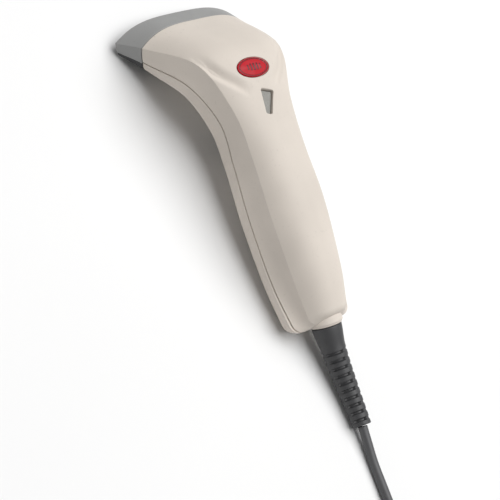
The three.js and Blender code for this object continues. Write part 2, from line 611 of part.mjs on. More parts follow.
const bootRings = [];
function bootRing(centre, ahead, radius) {
  const side = new THREE.Vector3(0, 1, 0).addScaledVector(ahead, -ahead.y).normalize();
  const rise = new THREE.Vector3().crossVectors(ahead, side);
  const SIDES = 20;
  bootRings.push(Array.from({ length: SIDES }, (_, k) => {
    const turn = 2 * Math.PI * k / SIDES;
    const out = side.clone().multiplyScalar(Math.cos(turn)).addScaledVector(rise, Math.sin(turn));
    return centre.clone().addScaledVector(out, radius);
  }));
}
const inward = (distance) => bootRoot.clone().addScaledVector(bootAhead, -distance);
bootRing(inward(5.8), bootAhead, BOOT.flange);
bootRing(inward(4.4), bootAhead, BOOT.flange);
bootRing(inward(4.4), bootAhead, BOOT.neck);
bootRing(inward(0.02), bootAhead, BOOT.neck);
const bootRingAt = (part, deeper) => bootRing(
  bootPath.getPointAt(part), bootPath.getTangentAt(part), bootRadius(part) - deeper);
bootRingAt(0, 0);
bootRingAt(0.12, 0);
const ribPitch = (1 - ribStart) / BOOT.ribs;
for (let k = 0; k < BOOT.ribs; k++) {
  const at = ribStart + k * ribPitch;
  bootRingAt(at, 0);
  bootRingAt(at + 0.12 * ribPitch, BOOT.groove);
  bootRingAt(at + 0.42 * ribPitch, BOOT.groove);
  bootRingAt(at + 0.54 * ribPitch, 0);
}
bootRingAt(1, 0);
piece('strain_relief', loft(bootRings), 'boot', scanner);

// ---- Cable, its coil and its plug ---------------------------------------------------------------

// The cable lies along its heading to a tangent point, where it joins the coil's outermost turn, at the
// bottom.
const coilOuter = COIL.turn + COIL.columns * CABLE_R;
const coilInner = COIL.turn - COIL.columns * CABLE_R;
const coilTall = 2 * CABLE_R * COIL.layers;
const acrossHeading = new THREE.Vector3(tipHeading.y, -tipHeading.x, 0);
const along = (distance) => bootTip.clone().addScaledVector(tipHeading, distance).setZ(CABLE_R + 0.05);
const tangentPoint = along(COIL.distance);
const coilCentre = tangentPoint.clone().addScaledVector(acrossHeading, coilOuter - CABLE_R);
const entryTurn = Math.atan2(-acrossHeading.y, -acrossHeading.x);

// A point beside the coil, a number of degrees clockwise past the entry.
function pastEntry(degrees, radius, z) {
  const turn = entryTurn - THREE.MathUtils.degToRad(degrees);
  const out = new THREE.Vector3(Math.cos(turn), Math.sin(turn), 0);
  return coilCentre.clone().setZ(z).addScaledVector(out, radius);
}

const CABLE_SIDES = 10;
const cableStart = bootTip.clone().addScaledVector(tipHeading, GAP);
const cableRoute = [
  cableStart, along(8).setZ(3.6), along(18), along(30), along(42), along(COIL.distance - 18),
];
piece('cable', tube(cableRoute, CABLE_R, 10, CABLE_SIDES), 'cable', scanner);

const coilProfile = [
  [coilInner, 0], [coilOuter, 0], [coilOuter, coilTall], [coilInner, coilTall], [coilInner, 0],
].map(([r, z]) => new THREE.Vector2(r, z));
const coilRing = new THREE.LatheGeometry(coilProfile, 40).rotateX(Math.PI / 2);
piece('cable_coil', coilRing, 'cable', scanner,
  new THREE.Matrix4().makeTranslation(coilCentre.x, coilCentre.y, 0));

const besideCoil = coilOuter + CABLE_R + 2 * GAP;
const plugHeight = USB.gripTall / 2;
const LEAD_LEAVES = 173;      // degrees past the entry
const LEAD_STRAIGHT = 18;     // clears the grip's corner past the coil
const leadOut = [[50, 15.4], [78, 14], [106, 10.8], [134, 6.8], [158, 4.3]]
  .map(([degrees, z]) => pastEntry(degrees, besideCoil, z));
const leadTurn = entryTurn - THREE.MathUtils.degToRad(LEAD_LEAVES) - Math.PI / 2;
const leadHeading = new THREE.Vector3(Math.cos(leadTurn), Math.sin(leadTurn), 0);
const leadStart = pastEntry(LEAD_LEAVES, besideCoil, plugHeight);
const leadEnd = leadStart.clone().addScaledVector(leadHeading, LEAD_STRAIGHT);
leadOut.push(leadStart.clone().addScaledVector(leadHeading, 4), leadEnd);
piece('plug_lead', tube(leadOut, CABLE_R, 12, CABLE_SIDES), 'cable', scanner);

const plugFrame = new THREE.Matrix4().makeRotationZ(leadTurn);
plugFrame.setPosition(leadEnd.x + leadHeading.x * GAP, leadEnd.y + leadHeading.y * GAP, 0);
const grip = block(USB.grip, USB.gripWide, USB.gripTall, 1.6);
piece('usb_grip', grip, 'boot', scanner, shift(plugFrame, USB.grip / 2, 0, 0));
const SHEET = 0.4;            // metal thickness of the plug's shell
const shellRoom = box(USB.shell, USB.shellWide - 2 * SHEET, USB.shellTall - 2 * SHEET, 1, 0, 0);
const usbShell = cut(solidOf(box(USB.shell, USB.shellWide, USB.shellTall)), shellRoom);
const shellX = USB.grip + GAP + USB.shell / 2;
piece('usb_shell', geometryOf(usbShell), 'can', scanner, shift(plugFrame, shellX, 0, plugHeight));
piece('usb_tongue', box(USB.shell - 2, USB.shellWide - 2 * SHEET - 2 * GAP, 1.6), 'clear', scanner,
  shift(plugFrame, shellX + 0.7, 0, plugHeight + 0.7));

// The tie straps the bundle together on its free side; its legs end at the surface.
const TIE = { past: 250, width: 9, thick: 0.8 };
const tieLow = coilInner - 1.1;
const tieHigh = coilOuter + GAP;
const tieSpan = tieHigh - tieLow;
const tieRoom = box(tieSpan, FAR, FAR, 0, 0, coilTall + GAP - FAR / 2);
const tieTop = coilTall + GAP + TIE.thick;
const strap = cut(solidOf(box(tieSpan + 2 * TIE.thick, TIE.width, tieTop, 0, 0, tieTop / 2)), tieRoom);
const tieFrame = new THREE.Matrix4().makeRotationZ(entryTurn - THREE.MathUtils.degToRad(TIE.past));
tieFrame.setPosition(pastEntry(TIE.past, (tieLow + tieHigh) / 2, 0));
piece('cable_tie', geometryOf(strap), 'strap', scanner, tieFrame);

export default scanner;
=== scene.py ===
import json
import math

import bmesh
import bpy
import numpy as np
from mathutils import Matrix, Vector

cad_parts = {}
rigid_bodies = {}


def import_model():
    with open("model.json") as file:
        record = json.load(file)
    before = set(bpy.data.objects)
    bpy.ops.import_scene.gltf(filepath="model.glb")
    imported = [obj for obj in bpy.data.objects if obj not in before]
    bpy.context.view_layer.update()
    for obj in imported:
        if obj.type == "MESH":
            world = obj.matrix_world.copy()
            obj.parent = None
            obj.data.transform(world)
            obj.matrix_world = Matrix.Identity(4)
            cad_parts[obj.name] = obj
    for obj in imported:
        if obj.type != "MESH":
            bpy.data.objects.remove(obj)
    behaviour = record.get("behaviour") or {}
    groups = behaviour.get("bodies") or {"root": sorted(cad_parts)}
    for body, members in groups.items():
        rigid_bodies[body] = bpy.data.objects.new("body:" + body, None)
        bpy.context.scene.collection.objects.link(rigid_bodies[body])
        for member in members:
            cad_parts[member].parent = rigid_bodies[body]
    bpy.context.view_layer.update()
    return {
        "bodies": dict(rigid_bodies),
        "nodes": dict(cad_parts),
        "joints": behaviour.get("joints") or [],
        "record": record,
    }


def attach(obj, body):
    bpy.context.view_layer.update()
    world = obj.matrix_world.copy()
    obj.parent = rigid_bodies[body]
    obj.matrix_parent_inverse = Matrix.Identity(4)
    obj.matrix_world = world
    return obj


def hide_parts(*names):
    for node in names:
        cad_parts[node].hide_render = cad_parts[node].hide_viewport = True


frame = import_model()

# A handheld barcode scanner lying face down. Shapes are worked out in millimetres in the handle's own
# frame: x up the handle from the butt, y to its near side, z out of its back.

# ---- Driving dimensions ----

MM = 0.001
PITCH = math.radians(20.5)            # how far the handle leans up from the surface
HANDLE_ORIGIN = (-57.82, 0.0, 7.604)  # the handle frame's origin in the row frame

# Casing stations from butt to nose: the ridge line's place, the section's lean in degrees, the half width
# at the ridge, the rise above it, the drop to the underside, the parting line's half width and drop, and
# how flat the crown is.
STATION_KEYS = ("x", "z", "lean", "ridge", "crown", "depth", "seam", "drop", "power")
STATIONS = np.array([
    (2.4, 8.3, 4, 11.8, 6.2, 17.7, 18, 5.9, 2.6),
    (27, 6.5, 5.5, 14.6, 8.4, 22.3, 19.6, 10.5, 2.6),
    (58, 3, 8, 16.5, 8.3, 25, 20, 12.2, 2.6),
    (84, -1.5, 10, 15.8, 7.1, 25.6, 18.4, 12.2, 2.7),
    (106, -5.5, 16, 17, 4.6, 26.9, 19.1, 10.7, 3),
    (130, -14, 41, 24.4, 5.4, 23.8, 26.8, 11.7, 3.4),
    (142, -41.5, 64, 30.6, 8.3, 15, 30.2, 7.5, 3.7),
    (148, -57.5, 69.4, 36.2, 8.7, 8.7, 35.2, 4, 3.4),
], float)
LAST = len(STATIONS) - 1
BELLY_POWER = 3.2
SIDE_POWER = 2.5           # hollows the sides under the ridge
WALL = 2.2
GAP = 0.3
LIP = 0.45                 # rounding of the edges along the joints
BUTT_ROUND = 4.5
BACK_SLANT = 3.4           # how much earlier the back ends than the underside
SLANT_REACH = 24           # how far along the handle the slant dies out
NOSE_ROUND = 1.2
FRONT_WALL = 2.5
BOOT_BORE = 5.3            # the hole in the butt that the strain relief goes through
SCREW_BOSS, SCREW_HEAD_HOLE, SCREW_SHANK_HOLE = 4.0, 3.1, 1.7
BUMPER_LENGTH = 14.5

BOOT_UP = -3.7
BOOT = dict(root=7.2, waist=6.0, tip=4.4, length=50, smooth=12, ribs=10)
CABLE_R = 2.25
BADGE = dict(at=0.66, across=1, length=17.4, width=9.2, turn=-4, sunk=0.9, proud=0.4)
STATUS = dict(start=0.54, end=0.606, wide=6.2, narrow=2.4, across=0, turn=-20, sunk=1.3, thick=1.4)
TRIGGER = dict(start=0.475, end=0.635, width=16, proud=1.8, sunk=2.4, length=38.0, rib_pitch=3.2, round=1.1)

# ---- Camera ----

CAMERA_AT = (-0.07976, 0.35908, 0.47568)
CAMERA_TOWARD = Vector((-0.11588, 0.58512, 0.80262))   # from the object to the camera
CAMERA_UP = Vector((0.89983, -0.28031, 0.33426))
LENS = 90.88


def make_camera():
    """A camera at the photo's angle."""
    data = bpy.data.cameras.new("camera")
    data.lens = LENS
    data.sensor_width = 36
    data.clip_end = 20
    camera = bpy.data.objects.new("camera", data)
    right = CAMERA_UP.cross(CAMERA_TOWARD).normalized()
    up = CAMERA_TOWARD.cross(right)
    turned = Matrix((right, up, CAMERA_TOWARD)).transposed().to_4x4()
    camera.matrix_world = Matrix.Translation(CAMERA_AT) @ turned
    bpy.context.scene.collection.objects.link(camera)
    bpy.context.scene.camera = camera


make_camera()

# ---- Materials ----


class Nodes:
    """Makes and links shader nodes for one material."""

    def __init__(self, name):
        self.material = bpy.data.materials.new(name)
        self.material.use_nodes = True
        self.tree = self.material.node_tree
        self.tree.nodes.clear()
        output = self.add("ShaderNodeOutputMaterial")
        self.shader = self.add("ShaderNodeBsdfPrincipled")
        self.link(self.shader.outputs["BSDF"], output.inputs["Surface"])
        self.coordinates = self.add("ShaderNodeTexCoord").outputs["Object"]

    def add(self, kind, **settings):
        node = self.tree.nodes.new(kind)
        for key, value in settings.items():
            setattr(node, key, value)
        return node

    def link(self, source, target):
        self.tree.links.new(source, target)

    def feed(self, name, source):
        """Links a value or colour to one of the shader's sockets."""
        self.link(source, self.shader.inputs[name])

    def fill(self, node, **values):
        """Sets a node's sockets, whose names have spaces where the keys have underscores."""
        for key, value in values.items():
            node.inputs[key.replace("_", " ")].default_value = value

    def noise(self, size_mm, detail=3.0, roughness=0.55, stretch=None):
        """Noise whose largest features are about size_mm across, optionally stretched along an axis."""
        place = self.coordinates
        if stretch:
            mapping = self.add("ShaderNodeMapping")
            self.fill(mapping, Scale=stretch)
            self.link(place, mapping.inputs["Vector"])
            place = mapping.outputs["Vector"]
        node = self.add("ShaderNodeTexNoise")
        self.fill(node, Scale=1 / (size_mm * MM), Detail=detail, Roughness=roughness)
        self.link(place, node.inputs["Vector"])
        return node.outputs["Fac"]

    def spread(self, value, low, high, start=0.3, end=0.7):
        """A value mapped from start..end to low..high."""
        node = self.add("ShaderNodeMapRange")
        self.fill(node, From_Min=start, From_Max=end, To_Min=low, To_Max=high)
        self.link(value, node.inputs["Value"])
        return node.outputs["Result"]

    def blend(self, factor, first, second):
        """A colour mixed between two by a factor."""
        node = self.add("ShaderNodeMix", data_type="RGBA")
        self.link(factor, node.inputs["Factor"])
        for socket, colour in zip((node.inputs["A"], node.inputs["B"]), (first, second)):
            if isinstance(colour, tuple):
                socket.default_value = (*colour, 1)
            else:
                self.link(colour, socket)
        return node.outputs["Result"]

    def bump(self, height, depth_mm, strength=1.0, normal=None):
        """Relief of a depth in millimetres, on top of an earlier bump if there is one."""
        node = self.add("ShaderNodeBump")
        self.fill(node, Strength=strength, Distance=depth_mm * MM)
        self.link(height, node.inputs["Height"])
        if normal:
            self.link(normal, node.inputs["Normal"])
        self.feed("Normal", node.outputs["Normal"])
        return node.outputs["Normal"]

    def set(self, **values):
        self.fill(self.shader, **values)


def shade(colour, factor):
    """A colour made lighter or darker."""
    return tuple(min(1.0, c * factor) for c in colour)


def moulded(name, colour, roughness, grain_mm=0.35, depth_mm=0.012, variation=0.04, **settings):
    """Moulded plastic or rubber: fine spark-eroded grain, faint colour drift and uneven gloss."""
    nodes = Nodes(name)
    drift = nodes.spread(nodes.noise(28, 2), 0, 1)
    base = nodes.blend(drift, shade(colour, 1 - variation), shade(colour, 1 + variation))
    specks = nodes.spread(nodes.noise(1.6, 4), 0, 1, 0.62, 0.72)
    nodes.feed("Base Color", nodes.blend(specks, base, shade(colour, 0.93)))
    nodes.feed("Roughness", nodes.spread(nodes.noise(9, 3), roughness * 0.9, roughness * 1.12))
    nodes.bump(nodes.noise(grain_mm, 2), depth_mm)
    nodes.set(**settings)
    return nodes.material


def polished(name, colour, roughness, variation=0.06, **settings):
    """A glossy surface with faint smears and very shallow waviness."""
    nodes = Nodes(name)
    drift = nodes.spread(nodes.noise(6, 2), 0, 1)
    nodes.feed("Base Color", nodes.blend(drift, shade(colour, 1 - variation), shade(colour, 1 + variation)))
    nodes.feed("Roughness", nodes.spread(nodes.noise(3, 4), roughness * 0.7, roughness * 1.5))
    nodes.bump(nodes.noise(2.5, 1), 0.01, 0.4)
    nodes.set(**settings)
    return nodes.material


def brushed(name, colour, roughness, stretch=(1, 1, 12)):
    """Metal with fine lines drawn along one axis."""
    nodes = Nodes(name)
    lines = nodes.noise(0.25, 3, 0.7, stretch)
    nodes.feed("Base Color", nodes.blend(lines, shade(colour, 0.85), shade(colour, 1.1)))
    nodes.feed("Roughness", nodes.spread(lines, roughness * 0.75, roughness * 1.3))
    nodes.bump(lines, 0.006, 0.6)
    nodes.set(Metallic=1.0)
    return nodes.material


def circuit_board(name):
    """Solder mask over faint copper tracks, with rows of plated holes."""
    nodes = Nodes(name)
    tracks = nodes.add("ShaderNodeTexBrick")
    nodes.fill(tracks, Scale=260, Mortar_Size=0.06, Mortar=(0.030, 0.190, 0.065, 1),
               Color1=(0.010, 0.085, 0.030, 1), Color2=(0.014, 0.105, 0.038, 1))
    nodes.link(nodes.coordinates, tracks.inputs["Vector"])
    holes = nodes.add("ShaderNodeTexVoronoi")
    nodes.fill(holes, Scale=320)
    nodes.link(nodes.coordinates, holes.inputs["Vector"])
    plated = nodes.spread(holes.outputs["Distance"], 1, 0, 0.12, 0.16)
    nodes.feed("Base Color", nodes.blend(plated, tracks.outputs["Color"], (0.55, 0.45, 0.20)))
    nodes.bump(tracks.outputs["Fac"], 0.03, 0.5)
    nodes.set(Roughness=0.3)
    return nodes.material


def woven(name, colour):
    """Hook and loop tape: a coarse weave under short fuzz."""
    nodes = Nodes(name)
    wave = nodes.add("ShaderNodeTexWave", wave_type="BANDS", bands_direction="DIAGONAL")
    nodes.fill(wave, Scale=450, Distortion=2)
    nodes.link(nodes.coordinates, wave.inputs["Vector"])
    nodes.feed("Base Color", nodes.blend(wave.outputs["Fac"], shade(colour, 0.6), shade(colour, 1.6)))
    first = nodes.bump(wave.outputs["Fac"], 0.15, 0.7)
    nodes.bump(nodes.noise(0.25, 4), 0.12, 0.8, first)
    nodes.set(Roughness=0.95, Sheen_Weight=0.3)
    return nodes.material


SHELL = (0.665, 0.605, 0.542)
MATERIALS = {
    "casing": moulded("casing_plastic", SHELL, 0.6, Specular_IOR_Level=0.2),
    "inside": moulded("casing_inside", shade(SHELL, 0.85), 0.6),
    "bumper": moulded("bumper_grey", (0.30, 0.30, 0.296), 0.55, 0.3, 0.015, Specular_IOR_Level=0.3),
    # near-black rubber for the bumper's front face, also used as painted shade on the bumper's underside
    "bumper_black_and_painted_shade": moulded("bumper_black_and_painted_shade", (0.018, 0.018, 0.02), 0.45, 0.3, 0.015),
    "window": polished("window_red", (0.10, 0.004, 0.006), 0.06, Coat_Weight=0.6, Coat_Roughness=0.03,
                       Transmission_Weight=0.55, IOR=1.49),
    "gasket": moulded("gasket_foam", (0.02, 0.02, 0.022), 0.9, 0.5, 0.08),
    "trigger": moulded("trigger_plastic", (0.085, 0.088, 0.092), 0.45, 0.3, 0.012),
    "pin": brushed("pin_steel", (0.55, 0.56, 0.57), 0.3),
    "badge": polished("badge_red", (0.46, 0.008, 0.018), 0.45, Specular_IOR_Level=0.25),
    "badge_dark": polished("badge_dark", (0.13, 0.006, 0.012), 0.35),
    "status": polished("status_smoked", (0.20, 0.195, 0.175), 0.3),
    "board": circuit_board("board_mask"),
    "chip": moulded("chip_epoxy", (0.02, 0.02, 0.022), 0.45, 0.15, 0.01),
    "can": brushed("plated_steel", (0.62, 0.62, 0.63), 0.22, (12, 1, 1)),
    "black": moulded("moulded_black", (0.028, 0.028, 0.03), 0.5),
    "mirror": polished("mirror_film", (0.9, 0.91, 0.92), 0.03, 0.01, Metallic=1.0),
    "led": polished("led_epoxy", (0.62, 0.03, 0.03), 0.08, Transmission_Weight=0.5, IOR=1.5),
    "clear": polished("clear_plastic", (0.80, 0.79, 0.76), 0.15, Transmission_Weight=0.35, IOR=1.5),
    "screw": brushed("zinc_steel", (0.46, 0.47, 0.48), 0.35, (1, 1, 3)),
    "boot": moulded("boot_rubber", (0.050, 0.050, 0.052), 0.52, 0.4, 0.02),
    "cable": moulded("cable_jacket", (0.085, 0.085, 0.088), 0.48, 0.5, 0.02),
    "gold": brushed("contact_gold", (0.83, 0.62, 0.25), 0.25),
    "strap": woven("hook_and_loop", (0.014, 0.014, 0.016)),
}

# ---- Mesh helpers ----


def row_points(points):
    """Points in the handle's frame, in millimetres, as points in the row frame, in metres."""
    x, y, z = np.moveaxis(np.asarray(points, float), -1, 0)
    c, s = math.cos(PITCH), math.sin(PITCH)
    moved = np.stack([x * c - z * s, y, x * s + z * c], -1)
    return (moved + HANDLE_ORIGIN) * MM


def new_object(name, points, faces, *materials):
    """A mesh object from points in metres, with its normals facing out."""
    mesh = bpy.data.meshes.new(name)
    mesh.from_pydata([tuple(p) for p in points], [], [tuple(int(k) for k in f) for f in faces])
    work = bmesh.new()
    work.from_mesh(mesh)
    bmesh.ops.remove_doubles(work, verts=work.verts, dist=1e-6)
    bmesh.ops.dissolve_degenerate(work, edges=work.edges, dist=1e-7)
    bmesh.ops.recalc_face_normals(work, faces=work.faces)
    work.to_mesh(mesh)
    work.free()
    for key in materials:
        mesh.materials.append(MATERIALS[key])
    obj = bpy.data.objects.new(name, mesh)
    bpy.context.scene.collection.objects.link(obj)
    return obj


BOX_FACES = [(0, 1, 3, 2), (4, 6, 7, 5), (0, 4, 5, 1), (2, 3, 7, 6), (0, 2, 6, 4), (1, 5, 7, 3)]


def box_corners(low, high):
    """A box's eight corners, in the order that BOX_FACES takes them."""
    return [(x, y, z) for x in (low[0], high[0]) for y in (low[1], high[1]) for z in (low[2], high[2])]


def smooth(obj, angle=38):
    """Shades an object smooth, but for edges sharper than an angle."""
    mesh = obj.data
    mesh.polygons.foreach_set("use_smooth", np.ones(len(mesh.polygons), bool))
    mesh.set_sharp_from_angle(angle=math.radians(angle))
    return obj


def settle(obj):
    """Replaces an object's mesh by the one its modifiers make."""
    graph = bpy.context.evaluated_depsgraph_get()
    made = bpy.data.meshes.new_from_object(obj.evaluated_get(graph), depsgraph=graph)
    obj.modifiers.clear()
    old = obj.data
    obj.data = made
    made.name = old.name
    bpy.data.meshes.remove(old)
    return obj


def carve(obj, tool, operation="DIFFERENCE"):
    """Cuts a closed tool out of a closed object, or joins it, and removes the tool."""
    modifier = obj.modifiers.new("carve", "BOOLEAN")
    modifier.operation = operation
    modifier.solver = "EXACT"
    modifier.object = tool
    settle(obj)
    mesh = tool.data
    bpy.data.objects.remove(tool)
    bpy.data.meshes.remove(mesh)
    return obj


def bevel(obj, width_mm, segments=2, angle=35):
    """Rounds an object's sharp edges."""
    modifier = obj.modifiers.new("bevel", "BEVEL")
    modifier.width = width_mm * MM
    modifier.segments = segments
    modifier.limit_method = "ANGLE"
    modifier.angle_limit = math.radians(angle)
    return settle(obj)


def fuse(first, *others):
    """Joins separate bodies into one object as they are."""
    with bpy.context.temp_override(active_object=first, selected_editable_objects=[first, *others]):
        bpy.ops.object.join()
    return first


def grid_faces(rows, columns, closed=False, start=0):
    """Quads over a grid of points laid out row by row."""
    faces = []
    for r in range(rows - 1):
        for c in range(columns if closed else columns - 1):
            a = start + r * columns + c
            b = start + r * columns + (c + 1) % columns
            faces.append((a, b, b + columns, a + columns))
    return faces


def thick_sheet(outer, inner):
    """Faces between an outer and an inner grid of the same size, closed round all four edges."""
    rows, columns = outer.shape[:2]
    count = rows * columns
    faces = grid_faces(rows, columns) + [f[::-1] for f in grid_faces(rows, columns, start=count)]
    edge = [(0, c) for c in range(columns)]
    edge += [(r, columns - 1) for r in range(1, rows)]
    edge += [(rows - 1, c) for c in range(columns - 2, -1, -1)]
    edge += [(r, 0) for r in range(rows - 2, 0, -1)]
    loop = [r * columns + c for r, c in edge]
    for a, b in zip(loop, loop[1:] + loop[:1]):
        faces.append((b, a, a + count, b + count))
    return np.concatenate([outer.reshape(-1, 3), inner.reshape(-1, 3)]), faces


def rings(points):
    """Points and faces of a body lofted through rings, with its ends closed by fans."""
    rows, columns = points.shape[:2]
    faces = grid_faces(rows, columns, closed=True)
    flat = points.reshape(-1, 3)
    first_middle, last_ring = len(flat), (rows - 1) * columns
    for c in range(columns):
        d = (c + 1) % columns
        faces.append((d, c, first_middle))
        faces.append((last_ring + c, last_ring + d, first_middle + 1))
    return np.concatenate([flat, [points[0].mean(0), points[-1].mean(0)]]), faces


def turned(profile, frame, sides=48):
    """Points and faces of a profile of (along x, radius), closed and turned about a frame's x axis."""
    profile = np.array(profile + profile[:1], float)[:, None, :]
    ahead = profile[..., :1] + np.zeros((sides, 1))
    local = np.concatenate([ahead, profile[..., 1:] * circle(sides)], -1)
    return in_frame(frame, local).reshape(-1, 3), grid_faces(len(profile), sides, closed=True)


def in_frame(frame, points):
    """Points in a frame, given as an origin and three axes, moved out of it."""
    origin, axes = frame
    return origin + np.asarray(points, float) @ np.array(axes)


def circle(sides):
    """Points round a unit circle."""
    turn = np.linspace(0, 2 * math.pi, sides, endpoint=False)
    return np.stack([np.cos(turn), np.sin(turn)], 1)


def spline(a, b, c, d, f):
    """The Catmull-Rom blend from b to c at f, between the neighbours a and d."""
    return 0.5 * (2 * b + (c - a) * f + (2 * a - 5 * b + 4 * c - d) * f**2 + (3 * b - a - 3 * c + d) * f**3)


def edge_inset(distance, radius):
    """How far a rounded edge lies in at a distance from the end."""
    return radius * (1 - math.sqrt(max(0.0, 1 - max(0.0, 1 - distance / radius) ** 2)))


def arc(centre, radius, start, end, steps):
    """Points on an arc in a plane, from one angle to another in degrees."""
    angle = np.radians(np.linspace(start, end, steps + 1))
    return [(centre[0] + radius * math.cos(t), centre[1] + radius * math.sin(t)) for t in angle]


def ease(value, low, high):
    """A smooth step from 0 at low to 1 at high."""
    t = np.clip((np.asarray(value, float) - low) / (high - low), 0, 1)
    return t * t * (3 - 2 * t)

# ---- Casing surface ----

PADDED = np.vstack([2 * STATIONS[0] - STATIONS[1], STATIONS, 2 * STATIONS[-1] - STATIONS[-2]])


def station(along):
    """Stations blended by a Catmull-Rom spline, for an array of places from 0 at the butt to 1."""
    place = np.clip(np.asarray(along, float), 0, 1) * LAST
    i = np.minimum(place.astype(int), LAST - 1)
    f = (place - i)[..., None]
    a, b, c, d = (PADDED[i + k] for k in range(4))
    s = dict(zip(STATION_KEYS, np.moveaxis(spline(a, b, c, d, f), -1, 0)))
    lean = np.radians(s["lean"])
    s["tx"], s["tz"] = np.cos(lean), -np.sin(lean)
    return s


def spot(s, across, up, ahead=0.0):
    """A point in a station's section: across it, up from the ridge, and moved ahead of it."""
    across, up = np.broadcast_arrays(np.asarray(across, float), np.asarray(up, float))
    x = s["x"] - s["tz"] * up + s["tx"] * ahead
    z = s["z"] + s["tx"] * up + s["tz"] * ahead
    x, y, z = np.broadcast_arrays(x, across, z)
    return np.stack([x, y, z], -1)


def along_for(length, index):
    """How much of along a length takes up, between one station and the next."""
    (ax, az), (bx, bz) = STATIONS[index, :2], STATIONS[index + 1, :2]
    return length / math.hypot(bx - ax, bz - az) / LAST


def section_frame(s, across=0.0, up=0.0, turn=0.0):
    """A frame at a place in a section: x ahead, y across, z up, turned about z by degrees."""
    ahead = np.array([float(s["tx"]), 0, float(s["tz"])])
    rise = np.array([-float(s["tz"]), 0, float(s["tx"])])
    side = np.array([0.0, 1.0, 0.0])
    c, n = math.cos(math.radians(turn)), math.sin(math.radians(turn))
    axes = (c * ahead + n * side, c * side - n * ahead, rise)
    return spot(s, across, up), axes


def crown_rise(s, across):
    """How high the back is over the ridge line at a place across it."""
    return s["crown"] * (1 - np.abs(across / s["ridge"]) ** s["power"])


def frame_on_back(along, across, reach, turn):
    """A section frame tipped to lie along the back, which it meets at two places reach either side."""
    ends = []
    for step in (-reach, reach):
        s = station(along + along_for(step, int(along * LAST)))
        ends.append(spot(s, across, crown_rise(s, across)))
    tx, _, tz = (ends[1] - ends[0]) / np.linalg.norm(ends[1] - ends[0])
    _, axes = section_frame(dict(station(along), tx=tx, tz=tz), turn=turn)
    return (ends[0] + ends[1]) / 2, axes


JOINT = 1 - along_for(BUMPER_LENGTH, LAST - 1)     # where the bumper meets the shells
SIDE_COLUMNS, CROWN_COLUMNS, BELLY_COLUMNS, LIP_STEPS = 14, 110, 110, 3
LIP_ANGLES = np.linspace(math.pi / 2, 0, LIP_STEPS + 1)[:-1]


def even_turns(count):
    """Angles round half of a superellipse, at equal distances along it."""
    turn = np.linspace(0, math.pi, 4001)
    x = np.sign(np.cos(turn)) * np.abs(np.cos(turn)) ** (2 / BELLY_POWER)
    y = 0.65 * np.abs(np.sin(turn)) ** (2 / BELLY_POWER)
    length = np.concatenate([[0], np.cumsum(np.hypot(np.diff(x), np.diff(y)))])
    return np.interp(np.linspace(0, length[-1], count + 1), length, turn)


def soften(values, middle, reach=4, passes=3):
    """Rounds a corner in a grid of section points, column by column."""
    a, b = middle - reach, middle + reach + 1
    for _ in range(passes):
        before, here, after = values[:, a - 1:b - 1], values[:, a:b], values[:, a + 1:b + 1]
        values[:, a:b] = 0.25 * before + 0.5 * here + 0.25 * after


def upper_section(s, inset, level):
    """Across and up over the upper shell's section, from the near parting line to the far one. The lips
    along the parting line start at level above it."""
    ridge, crown, seam = s["ridge"] - inset, s["crown"] - inset, s["seam"] - inset
    start = 1 - (level + LIP) / s["drop"]
    f = np.linspace(1, 0, SIDE_COLUMNS + 1)[:-1] * start
    lip_up = -s["drop"] + level + LIP * (1 - np.sin(LIP_ANGLES))
    lip_across = ridge + (seam - ridge) * start**SIDE_POWER - LIP * (1 - np.cos(LIP_ANGLES))
    side_up = -s["drop"] * f
    side_across = ridge + (seam - ridge) * f**SIDE_POWER
    g = np.sin(np.linspace(1, -1, CROWN_COLUMNS + 1) * math.pi / 2)
    top_across = ridge * g
    top_up = crown * (1 - np.abs(g) ** s["power"])
    across = np.concatenate([lip_across, side_across, top_across, -side_across[:, ::-1],
                             -lip_across[:, ::-1]], 1)
    up = np.concatenate([lip_up, side_up, top_up, side_up[:, ::-1], lip_up[:, ::-1]], 1)
    return across, up


NEAR_RIDGE = LIP_STEPS + SIDE_COLUMNS
FAR_RIDGE = NEAR_RIDGE + CROWN_COLUMNS
TURNS = even_turns(BELLY_COLUMNS)


def lower_section(s, inset, level):
    """The same round the lower shell, from the near parting line under the belly to the far one."""
    seam = s["seam"] - inset
    belly = s["depth"] - inset - s["drop"]
    x = np.sign(np.cos(TURNS)) * np.abs(np.cos(TURNS)) ** (2 / BELLY_POWER)
    y = np.abs(np.sin(TURNS)) ** (2 / BELLY_POWER)
    first = (level + LIP) / belly
    depth = np.maximum(y, first) * belly
    lip_up = -s["drop"] - level - LIP * (1 - np.sin(LIP_ANGLES))
    lip_across = seam - LIP * (1 - np.cos(LIP_ANGLES))
    lip_across, lip_up = np.broadcast_arrays(lip_across, lip_up)
    across = np.concatenate([lip_across, seam * x, -lip_across[:, ::-1]], 1)
    up = np.concatenate([lip_up, -s["drop"] - depth, lip_up[:, ::-1]], 1)
    return across, up


FACE_ROWS, ROUND_ROWS, BODY_ROWS = 10, 10, 190


